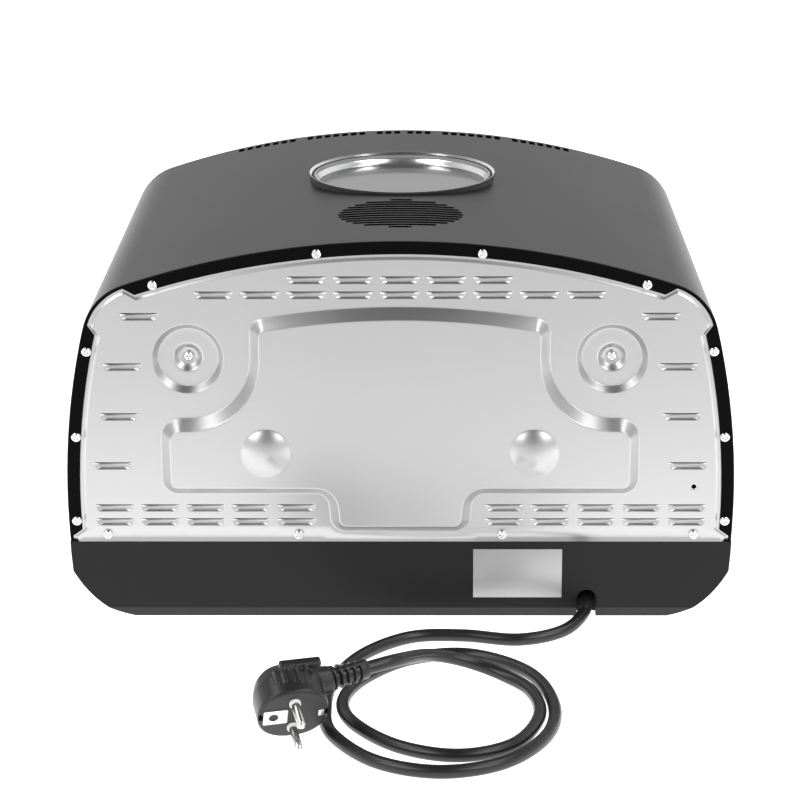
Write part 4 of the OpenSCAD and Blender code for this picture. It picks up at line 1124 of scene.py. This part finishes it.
@dataclass
class Screws:
    """Pan-head screws with a cross recess, each turned its own way."""

    radius: float = 3.05
    height: float = 2.0
    arm: float = 1.85
    arm_w: float = 0.46
    depth: float = 1.5
    sides: int = 24

    def head(self) -> Shape:
        """One head standing on Z = 0: recess, domed top, rim and underside."""
        shape = bmesh.new()
        a, w, low = self.arm, self.arm_w, self.height - self.depth
        quarter = [(w, w), (a, w * 0.8), (a, -w * 0.8), (w, -w)]
        star = []
        for k in range(4):
            c, s = math.cos(-math.pi / 2 * k), math.sin(-math.pi / 2 * k)
            star += [(x * c - y * s, x * s + y * c, low) for x, y in quarter[:3]]
        edges = chain(shape, star)
        bmesh.ops.edgenet_fill(shape, edges=edges)
        edges = carry(shape, edges, lambda p: (p.co.x * 1.08, p.co.y * 1.08, self.height - 0.06 * p.co.length))
        reach = self.radius * 0.62
        bmesh.ops.create_circle(
            shape, segments=self.sides, radius=reach, cap_ends=False,
            matrix=Matrix.Translation((0, 0, self.height - 0.12)),
        )
        ring = [e for e in shape.edges if not e.link_faces]
        bmesh.ops.bridge_loops(shape, edges=edges + ring)
        for r, z in ((0.80, self.height * 0.84), (0.93, self.height * 0.62), (1.0, self.height * 0.33), (1.0, 0.0)):
            ring = carry(shape, ring, lambda p: (*(p.co.xy.normalized() * r * self.radius), z))
        bmesh.ops.edgenet_fill(shape, edges=ring)
        bmesh.ops.recalc_face_normals(shape, faces=shape.faces)
        return shape

    def build(self) -> None:
        """Makes the three groups of screws."""
        draw = random.Random(11)
        sides = [math.sqrt((456.0 - 5.2) ** 2 - (z - 80.0) ** 2) - 251.0 for z in (175.5, 121.1, 66.7)]
        roofs = [math.sqrt((525.0 - 5.2) ** 2 - x * x) - 281.0 for x in (49.6, 148.3)]
        flange = [(49.6, roofs[0]), (148.3, roofs[1]), (sides[0], 175.5), (sides[1], 121.1), (sides[2], 66.7)]
        groups = {
            "flange": (REAR_Y, flange), "lower": (REAR_Y, [(62.7, 57.7), (180.7, 57.7)]),
            "dish": (REAR_Y - 7.5, [(128.4, 170.8)]),
        }
        for name, (y, spots) in groups.items():
            shape = bmesh.new()
            for x, z in spots:
                for side in (-1, 1):
                    turn = Matrix.Rotation(draw.uniform(0, math.pi / 2), 4, "Z")
                    added(shape, moved(self.head(), Matrix.Translation((side * x, y, z)) @ FACING_BACK @ turn))
            publish(shape, f"{name}_screw_heads", SCREW_METAL, replaces=(f"{name}_screws",), crease=40)


@dataclass
class RoofWindow:
    """The round window's ring."""

    centre: Point = (0.0, 1.5, 0.0)
    steps: int = 128

    def build(self) -> None:
        """A ring that slopes in to the glass from a thin lip, with a ledge under the glass."""
        rim = eased([(61.5, 244.4), (61.5, 245.6), (61.0, 245.8), (57.0, 241.6), (55.6, 238.6)], 0.5, 3)
        wall = [(55.5, 238.5), (55.5, 234.5), (52.6, 234.4), (52.6, 233.0), (57.0, 232.9), (57.0, 240.0)]
        shape = revolve([*rim, *wall, rim[0]], self.steps)
        for face in shape.faces:
            face.material_index = int(face.calc_center_median().xy.length > 61.2)
        publish(
            moved(shape, Matrix.Translation(self.centre)), "window_ring", RING_METAL,
            replaces=("window_bezel",), second=SEAL_RUBBER,
        )


@dataclass
class Base:
    """The moulded base: one shell with a notch for the cord, and its small parts."""

    plate: tuple[Point, Point] = ((-72.5, 183.62, 32.0), (55.0, 0.5, 32.0))
    side: tuple[Flat, ...] = ((204.4, 53.0), (204.1, 45.0))
    kink: Flat = (203.3, 33.5)
    bow: Flat = (189.9, 8.5)
    foot: Flat = (166.0, 1.6)
    notch: tuple[float, float, float] = (-115.7, 15.0, 6.0)
    notch_back: float = 170.0
    chamfer_z: float = 9.0
    chamfer_way: Flat = (7.4, -5.0)
    cover: tuple[float, float, float, float] = (160.0, -124.0, 166.0, 4.4)
    front_holes: tuple[tuple[float, float], ...] = ((75.0, 5.2), (14.0, 4.7))
    holes_z: float = 27.0

    def build(self) -> None:
        """Makes the shell, softens the small moulded parts and adds the plate."""
        shell = publish(self.shell(), "base_moulding", BASE_MOULD, replaces=("base_tub",))
        soften(shell, 0.8)
        thicken(shell, 2.0)
        softened("rubber_feet", "soft_feet", width_mm=0.6)
        softened("cord_clamp", "cord_saddle", width_mm=0.5)
        softened("bottom_cover", "cover_sheet", width_mm=0.2)
        publish(block(*self.plate, soft=0.12), "bare_plate", PLATE_SHEET)

    def outline(self) -> list[Flat]:
        """The rear outline from the top at +X round to the top at -X, with the notch."""
        a, c, b = Vector(self.kink), Vector(self.bow), Vector(self.foot)
        bow = [tuple(a * (1 - t) ** 2 + c * 2 * t * (1 - t) + b * t * t) for t in (k / 14 for k in range(15))]
        half = [*self.side, *bow]
        x, z, r = self.notch
        arch = [(x + r * math.cos(math.pi * k / 16), z + r * math.sin(math.pi * k / 16)) for k in range(17)]
        low = self.foot[1]
        return [*half, (x + r, low), *arch, (x - r, low), *[(-u, v) for u, v in reversed(half)]]

    def shell(self) -> Shape:
        """The shell, drawn from its rear face to its front face, then chamfered below."""
        shape = bmesh.new()
        edges = chain(shape, [(x, REAR_Y, z) for x, z in self.outline()], closed=False)
        self.cap(shape, edges, 1.0)
        edges = carry(shape, edges, lambda p: (p.co.x, self.notch_back, p.co.z))
        x, _, r = self.notch
        arch = [e for e in edges if all(abs(v.co.x - x) < r + 1e-3 for v in e.verts)]
        feet = [v for e in arch for v in e.verts if abs(v.co.z - self.foot[1]) < 1e-3]
        bridge = shape.edges.new(feet)
        bmesh.ops.triangle_fill(shape, use_beauty=True, edges=arch + [bridge], normal=(0, 1, 0))
        long = [e for e in edges if e not in arch] + [bridge]
        edges = carry(shape, long, lambda p: (p.co.x, FRONT_Y, p.co.z))
        holes = []
        for middle, radius in self.front_holes:
            for side in (-1, 1):
                holes += chain(shape, [
                    (side * middle + radius * math.cos(math.tau * k / 32), FRONT_Y,
                     self.holes_z + radius * math.sin(math.tau * k / 32)) for k in range(32)])
        self.cap(shape, edges, -1.0, holes)
        for y, way in ((REAR_Y, 1.0), (FRONT_Y, -1.0)):
            out = Vector((0.0, way * self.chamfer_way[0], self.chamfer_way[1])).normalized()
            cut = bmesh.ops.bisect_plane(
                shape, geom=list(shape.verts) + list(shape.edges) + list(shape.faces), dist=1e-4,
                plane_co=(0, y, self.chamfer_z), plane_no=out, clear_outer=True,
            )["geom_cut"]
            rim = [g for g in cut if isinstance(g, bmesh.types.BMEdge)]
            bmesh.ops.triangle_fill(shape, use_beauty=True, edges=rim, normal=out)
        self.open_bottom(shape)
        bmesh.ops.recalc_face_normals(shape, faces=shape.faces)
        turned_out(shape, (0, 0, -1))
        return shape

    @staticmethod
    def cap(shape: Shape, edges: Edges, way: float, holes: Edges = []) -> None:
        """Closes an end along the top and fills it."""
        ends = [v for e in edges for v in e.verts if sum(o in edges for o in v.link_edges) == 1]
        top = shape.edges.new(sorted(set(ends), key=lambda v: v.co.x))
        bmesh.ops.triangle_fill(shape, use_beauty=True, edges=[*edges, top, *holes], normal=(0, way, 0))

    def open_bottom(self, shape: Shape) -> None:
        """Opens the bottom under the cover and turns its rim up."""
        half, near, far, level = self.cover
        for spot, way in (
                ((half, 0, 0), (1, 0, 0)), ((-half, 0, 0), (1, 0, 0)), ((0, near, 0), (0, 1, 0)),
                ((0, far, 0), (0, 1, 0))):
            flats = [f for f in shape.faces if all(v.co.z < self.foot[1] + 1e-3 for v in f.verts)]
            bmesh.ops.bisect_plane(
                shape, geom=list({g for f in flats for g in (*f.verts, *f.edges, f)}), dist=1e-4,
                plane_co=spot, plane_no=way,
            )
        inner = [f for f in shape.faces if all(v.co.z < self.foot[1] + 1e-3 for v in f.verts)
                 and abs(f.calc_center_median().x) < half and near < f.calc_center_median().y < far]
        bmesh.ops.delete(shape, geom=inner, context="FACES")
        rim = [e for e in shape.edges if e.is_boundary and all(v.co.z < self.foot[1] + 1e-3 for v in e.verts)]
        carry(shape, rim, lambda p: (p.co.x, p.co.y, level))


@dataclass
class Controls:
    """The front of the base: plate, knobs, plain dial numbers and lamps."""

    knob_x: float = 75.0
    centre_z: float = 27.0
    plate_y: float = -142.0
    knob_y: float = -142.8
    numbers_r: float = 19.9
    size: float = 2.9
    lamp_x: float = 14.0

    def build(self) -> None:
        """Makes the plate, its numbers, both knobs and both lamps."""
        softened("control_panel", "control_plate", width_mm=0.35)
        marks = bmesh.new()
        for x, numbers, step in ((-self.knob_x, range(6), 24.0), (self.knob_x, range(0, 30, 5), 24.0)):
            for k, number in enumerate(numbers):
                angle = math.radians(k * step)
                spot = (x + self.numbers_r * math.sin(angle), self.plate_y, self.centre_z + self.numbers_r * math.cos(angle))
                added(marks, moved(self.digits(str(number)), Matrix.Translation(spot) @ FACING_FRONT))
                if k:
                    back = angle - math.radians(step / 2)
                    place = (x + self.numbers_r * math.sin(back), self.plate_y - 0.02, self.centre_z + self.numbers_r * math.cos(back))
                    added(marks, moved(block((0, 0, 0), (0.5, 1.6, 0.12), 0.04), Matrix.Translation(place) @ Matrix.Rotation(back, 4, "Y") @ FACING_FRONT))
        publish(marks, "dial_marks", DIAL_PRINT)
        for node, x, body in (("temperature_knob", -self.knob_x, Body.TEMPERATURE), ("timer_knob", self.knob_x, Body.TIMER)):
            place = Matrix.Translation((x, self.knob_y, self.centre_z)) @ FACING_FRONT
            piece = publish(moved(self.knob(), place), f"{node}_moulding", KNOB_MOULD, body, (node,), crease=35)
            soften(piece, 0.35)
            line = block((0, 10.5, 15.95), (0.9, 7.0, 0.25), 0.08)
            publish(moved(line, place), f"{node}_pointer", DIAL_PRINT, body)
        for node, x, finish in (("power_lamp", -self.lamp_x, RED_LENS), ("heat_lamp", self.lamp_x, GREEN_LENS)):
            dome = revolve(
                [(0, 2.6), (1.6, 2.5), (3.0, 2.0), (3.9, 1.2), (4.3, 0.35), (5.3, 0.25), (5.6, 0.0), (4.45, -0.1),
                 (4.45, -16.5), (0, -16.5)], 40)
            place = Matrix.Translation((x, self.plate_y, self.centre_z)) @ FACING_FRONT
            publish(moved(dome, place), f"{node}_dome", finish, replaces=(node,), crease=35)

    def digits(self, text: str) -> Shape:
        """A number as a thin mesh, centred on its place."""
        curve = bpy.data.curves.new("number", "FONT")
        curve.body, curve.size, curve.extrude = text, self.size, 0.05
        curve.align_x, curve.align_y = "CENTER", "CENTER"
        holder = bpy.data.objects.new("number", curve)
        mesh = bpy.data.meshes.new_from_object(holder)
        shape = bmesh.new()
        shape.from_mesh(mesh)
        for each in (holder, curve):
            bpy.data.batch_remove([each])
        bpy.data.meshes.remove(mesh)
        return shape

    @staticmethod
    def knob() -> Shape:
        """A fluted skirt with a waisted grip, standing on Z = 0."""
        shape = revolve(
            [(0, 0), (16.2, 0), (17, 0.7), (17, 3.4), (16.5, 4.3), (14.6, 6.4), (13.6, 7.0), (0, 7.4)], 96)
        for point in shape.verts:
            around = math.atan2(point.co.y, point.co.x)
            if point.co.xy.length > 16 and point.co.z > 0.1:
                point.co.xy *= 1.0 - 0.012 * (1.0 + math.cos(24 * around))
        grip = bmesh.new()
        edges = chain(grip, [
            ((4.0 - 1.1 * math.cos(math.pi * y / 26) ** 2) * side, side * y * -1.0, 6.0)
            for side in (-1, 1) for y in (-13.6, -12, -9, -6, -3, 0, 3, 6, 9, 12, 13.6)])
        bmesh.ops.edgenet_fill(grip, edges=edges)
        for grow, level in ((0.985, 12.0), (0.95, 15.0), (0.86, 15.9), (0.6, 16.0)):
            edges = carry(grip, edges, lambda p: (p.co.x * grow, p.co.y * (1 + (grow - 1) / 3), level))
        bmesh.ops.edgenet_fill(grip, edges=edges)
        bmesh.ops.recalc_face_normals(grip, faces=grip.faces)
        return added(shape, grip)


@dataclass
class Door:
    """The drop-down door: shell, handle and hinges."""

    handle_y: float = -190.0
    handle_z: float = 208.0
    handle_half: float = 91.0
    post_x: float = 75.0
    face_y: float = -160.0

    def build(self) -> None:
        """Rounds the door's parts and turns the handle."""
        softened("door_shell", "door_moulded_shell", Body.DOOR, 0.9)
        softened("door_liner", "door_inner_sheet", Body.DOOR, 0.25)
        softened("door_glass", "door_pane", Body.DOOR, 0.4)
        softened("front_frame", "front_frame_sheet", width_mm=0.3)
        softened("hinge_brackets", "hinge_knuckles", width_mm=0.4)
        softened("pizza_stone", "baking_stone", width_mm=1.2)
        half, bar = self.handle_half, 6.5
        end = [(0.0, -half), (4.9, -half), (6.1, -half + 0.5), (bar, -half + 1.7), (bar, -half + 5.0), (6.1, -half + 5.3),
               (6.1, -half + 5.9), (bar, -half + 6.2)]
        rod = revolve([*end, *[(r, -z) for r, z in reversed(end)]], 56)
        place = Matrix.Translation((0, self.handle_y, self.handle_z)) @ Matrix.Rotation(math.radians(90), 4, "Y")
        publish(moved(rod, place), "handle_tube", HANDLE_METAL, Body.DOOR, ("handle_bar",))
        posts = bmesh.new()
        for side in (-1, 1):
            post = revolve([
                (0, 0.0), (8.6, 0.0), (8.6, 0.9), (8.0, 1.5), (6.6, 2.2), (5.7, 3.6), (5.3, 6.0), (5.2, 14.0), (5.3, 22.0),
                (5.5, 25.5), (0, 25.5)], 48)
            added(posts, moved(post, Matrix.Translation((side * self.post_x, self.face_y, self.handle_z)) @ FACING_FRONT))
        publish(posts, "handle_feet", HANDLE_METAL, Body.DOOR, ("handle_posts",))


@dataclass
class MainsLead:
    """The cord, its strain relief, sleeve and plug. The route repeats the frame's."""

    diameter: float = 7.8
    start: Point = (-115.7, 171.0, 13.0)
    way: tuple[Point, ...] = (
        (-113.5, 192.5, 9.5), (-99.5, 212.5, 5.5), (-72, 223, 4.2), (-38, 216.5, 4.2), (-6, 219.5, 4.2),
        (22, 246, 4.2), (38, 284, 4.2), (42, 322, 4.2), (37, 358, 4.2), (12, 393, 4.2), (-24, 406, 4.2),
        (-60, 393, 4.2), (-84, 358, 4.2), (-89, 316, 4.2), (-76, 272, 4.2), (-42, 246, 4.2), (-6, 253, 4.2),
        (21, 282, 4.2), (32, 314, 4.2), (25, 344, 4.2), (-0.5, 374, 4.2), (-34, 385.5, 4.2),
        (-64.5, 371, 4.2), (-80, 334.5, 4.2), (-77, 300, 4.2), (-61, 280, 6), (-39.5, 274, 12),
        (-19, 283.5, 20), (-0.5, 312, 29.5),
    )
    plug_at: Point = (58, 363, 18.5)
    plug_tilt: float = 23.0
    plug_turn: float = 15.7
    plug_lean: float = 12.0
    plug_back: float = 18.0
    sleeve_start: float = 25.0
    sleeve_end: float = 50.0
    steps: int = 10

    def plug_place(self) -> Matrix:
        """The plug's frame: pins along +Y, cable along -X."""
        return (
            Matrix.Translation(self.plug_at)
            @ Matrix.Rotation(math.radians(self.plug_turn), 4, "Z")
            @ Matrix.Rotation(math.radians(-self.plug_tilt), 4, "X")
        )

    def cable_place(self) -> Matrix:
        """The cable's frame at the plug: Z along the cable, away from the plug."""
        return (
            self.plug_place()
            @ Matrix.Translation((0, -self.plug_back, 0))
            @ Matrix.Rotation(math.radians(self.plug_lean), 4, "Z")
            @ Matrix.Rotation(math.radians(-90), 4, "Y")
        )

    def line(self) -> list[Vector]:
        """The cord's centreline as one smooth curve."""
        end = self.cable_place() @ Vector((0, 0, self.sleeve_end))
        knots = [Vector(self.start), *map(Vector, self.way), end]
        last = len(knots) - 1
        found = []
        for i in range(last):
            a, b, c, d = (knots[min(last, max(0, i + k))] for k in (-1, 0, 1, 2))
            for k in range(self.steps):
                t = k / self.steps
                found.append(0.5 * (
                    2 * b + (c - a) * t + (2 * a - 5 * b + 4 * c - d) * t * t + (3 * b - a - 3 * c + d) * t ** 3
                ))
        return found + [end]

    def build(self) -> None:
        """Makes the cord and everything on it."""
        line = self.line()
        curve = bpy.data.curves.new("cord", "CURVE")
        curve.dimensions, curve.bevel_depth, curve.bevel_resolution = "3D", self.diameter / 2 * MM, 5
        curve.use_fill_caps = True
        spline = curve.splines.new("POLY")
        spline.points.add(len(line) - 1)
        for spot, point in zip(line, spline.points):
            point.co = (*(spot * MM), 1.0)
        cord = bpy.data.objects.new("cord", curve)
        bpy.context.scene.collection.objects.link(cord)
        curve.materials.append(CORD_SHEATH.material())
        settle(cord, Body.HOUSING, ("mains_cord",))
        length = sum((b - a).length for a, b in zip(line, line[1:]))
        pieces = [self.relief(), self.sleeve(), self.plug_body(), self.plug_front(), *self.metal()]

    def relief(self) -> bpy.types.Object:
        """The tapered strain relief inside the outlet."""
        radius = self.diameter / 2
        shape = revolve(
            [(radius - 0.3, 0), (5.4, 0), (5.5, 1.2), (5.0, 12), (radius + 0.35, 21), (radius - 0.2, 22)], 32
        )
        along = (Vector(self.way[0]) - Vector(self.start)).to_track_quat("Z", "Y").to_matrix().to_4x4()
        return publish(moved(shape, Matrix.Translation(self.start) @ along), "cord_relief", CORD_SHEATH)

    def sleeve(self) -> bpy.types.Object:
        """A tapered sleeve with ribs joined by two spines."""
        ribs = 5
        length = self.sleeve_end - self.sleeve_start
        pitch = (length - 4) / ribs
        profile: list[Flat] = [(4.6, -1.0), (7.3, -1.0)]
        for i in range(ribs):
            low = 0.6 + i * pitch
            outer = 7.3 - 0.26 * i
            profile += [
                (outer, low - 0.6), (4.75, low - 0.2), (4.7, low + pitch * 0.42),
                (outer - 0.35, low + pitch * 0.50), (outer - 0.05, low + pitch * 0.60),
            ]
        profile += [(5.9, length - 3.6), (5.8, length - 0.8), (5.2, length), (3.7, length)]
        shape = revolve(profile, 40)
        for side in (-1, 1):
            added(shape, block((side * 5.4, 0, length / 2 - 1), (2.2, 3.0, length - 3), 0.3))
        place = self.cable_place() @ Matrix.Translation((0, 0, self.sleeve_start))
        return publish(moved(shape, place), "ribbed_sleeve", CORD_SHEATH, replaces=("cord_sleeve",), crease=40)

    def plug_body(self) -> bpy.types.Object:
        """The moulded body: a rounded block, its cable boss and its grip, fused."""
        shape = self.block()
        boss = revolve([(0.0, 0.0), (11.2, 0.0), (11.0, 8.0), (8.6, 20.0), (7.6, 25.4), (0.0, 25.4)], 40)
        lift = Matrix.Translation((0, 0, 1.5))
        added(shape, moved(boss, self.plug_place().inverted() @ self.cable_place() @ lift))
        added(shape, block((-7.0, -21.5, 16.9), (24.0, 5.6, 5.2), 1.2))
        for x in (-9.5, -5.0, -0.5, 4.0, 8.5):
            added(shape, block((x, -13.0, 17.4), (1.7, 11.0, 2.4), 0.7))
        piece = publish(moved(shape, self.plug_place()), "plug_moulding", PLUG_MOULD, replaces=("plug_body",))
        fused = piece.modifiers.new("fused", "REMESH")
        fused.mode, fused.voxel_size, fused.use_smooth_shade = "VOXEL", 0.55 * MM, True
        soft = piece.modifiers.new("soft", "SMOOTH")
        soft.factor, soft.iterations = 0.5, 5
        return piece

    def outline(self, scale: float, y: float) -> list[Vector]:
        """The face's rounded outline at a depth."""
        half_x, half_z, power = 20.2, 18.2, 2.35
        found = []
        for k in range(64):
            c, s = math.cos(math.tau * k / 64), math.sin(math.tau * k / 64)
            found.append(Vector((
                math.copysign(abs(c) ** (2 / power), c) * half_x * scale, y,
                math.copysign(abs(s) ** (2 / power), s) * half_z * scale,
            )))
        return found

    def block(self) -> Shape:
        """The block behind the face, drawn out ring by ring."""
        rings = ((1.0, -1.2), (1.0, -15.0), (0.97, -18.0), (0.90, -22.0), (0.76, -26.0), (0.55, -29.5))
        return self.drawn(0.95, 0.0, rings)

    def drawn(self, scale: float, y: float, rings: Sequence[Flat]) -> Shape:
        """A closed form that starts as one outline and is extruded ring by ring."""
        shape = bmesh.new()
        edges = chain(shape, self.outline(scale, y))
        bmesh.ops.edgenet_fill(shape, edges=edges)
        for size, depth in rings:
            grow = size / scale
            edges = carry(shape, edges, lambda p: (p.co.x * grow, depth, p.co.z * grow))
            scale = size
        bmesh.ops.edgenet_fill(shape, edges=edges)
        bmesh.ops.recalc_face_normals(shape, faces=shape.faces)
        return shape

    def plug_front(self) -> bpy.types.Object:
        """The grained face, set in the block's front."""
        shape = self.drawn(0.90, 0.45, ((0.925, 0.3), (0.93, -0.6)))
        return publish(moved(shape, self.plug_place()), "plug_face", PLUG_FACE)

    def metal(self) -> list[bpy.types.Object]:
        """Pins, collars, earth contacts and the guide grooves' painted shade."""
        place = self.plug_place()
        pins, collars = bmesh.new(), bmesh.new()
        for z in (-9.5, 9.5):
            up = Matrix.Translation((0, 0, z)) @ FACING_BACK
            added(pins, moved(revolve(
                [(0, -3), (2.4, -3), (2.4, 16.6), (2.25, 17.6), (1.7, 18.5), (0.9, 18.95), (0, 19)], 32), up))
            added(collars, moved(revolve(
                [(2.42, -2), (3.3, -2), (3.3, 1.6), (3.1, 2.0), (2.75, 2.1), (2.42, 1.9)], 32), up))
        contacts = added(self.earth_plate(), block((-15.6, 0.6, 0), (3.2, 1.2, 4.4), 0.3))
        # The guide grooves are black patches on the face: painted shade standing in for their recesses
        grooves = added(block((18.7, 0.25, 0), (2.6, 0.9, 3.4), 0.2), block((-18.5, 0.25, 0), (2.4, 0.9, 3.4), 0.2))
        return [
            publish(moved(pins, place), "round_pins", PIN_METAL, replaces=("plug_pins",)),
            publish(moved(collars, place), "pin_collars", COLLAR_MOULD, replaces=("pin_sleeves",)),
            publish(moved(contacts, place), "earth_contacts", CONTACT_METAL, replaces=("plug_contacts",)),
            publish(moved(grooves, place), "guide_groove_shade", GROOVE_PAINTED_SHADE),
        ]

    @staticmethod
    def earth_plate() -> Shape:
        """The flat earth contact with its round hole and a small slot."""
        shape = bmesh.new()
        corners = [(10.5, -5.2), (17.4, -5.2), (17.4, 5.2), (3.6, 5.2), (3.6, -5.2), (10.5, -5.2)]
        chain(shape, [(x, 0.3, z) for x, z in eased(corners, 0.8, 3)[:-1]])
        chain(shape, [
            (11.6 + 2.7 * math.cos(math.tau * k / 32), 0.3, 2.7 * math.sin(math.tau * k / 32)) for k in range(32)])
        bmesh.ops.triangle_fill(shape, use_beauty=True, edges=list(shape.edges), normal=(0, 1, 0))
        grown = bmesh.ops.extrude_face_region(shape, geom=list(shape.faces))["geom"]
        for point in (g for g in grown if isinstance(g, bmesh.types.BMVert)):
            point.co.y = 1.1
        bmesh.ops.recalc_face_normals(shape, faces=shape.faces)
        return shape


def dress_nodes() -> None:
    """Gives every CAD node that shows its finish."""
    for name, finish in NODE_FINISHES.items():
        node = frame["nodes"][name]
        node.data.materials.clear()
        node.data.materials.append(finish.material())


def main() -> None:
    """Builds the scene in order."""
    logging.basicConfig(level=logging.INFO, format="%(name)s: %(message)s")
    dress_nodes()
    for part in (Studio(), MainsLead(), RoofSheet(), RearPanel(), Screws(), RoofWindow(), Base(), Controls(), Door()):
        part.build()


if __name__ == "__main__":
    main()
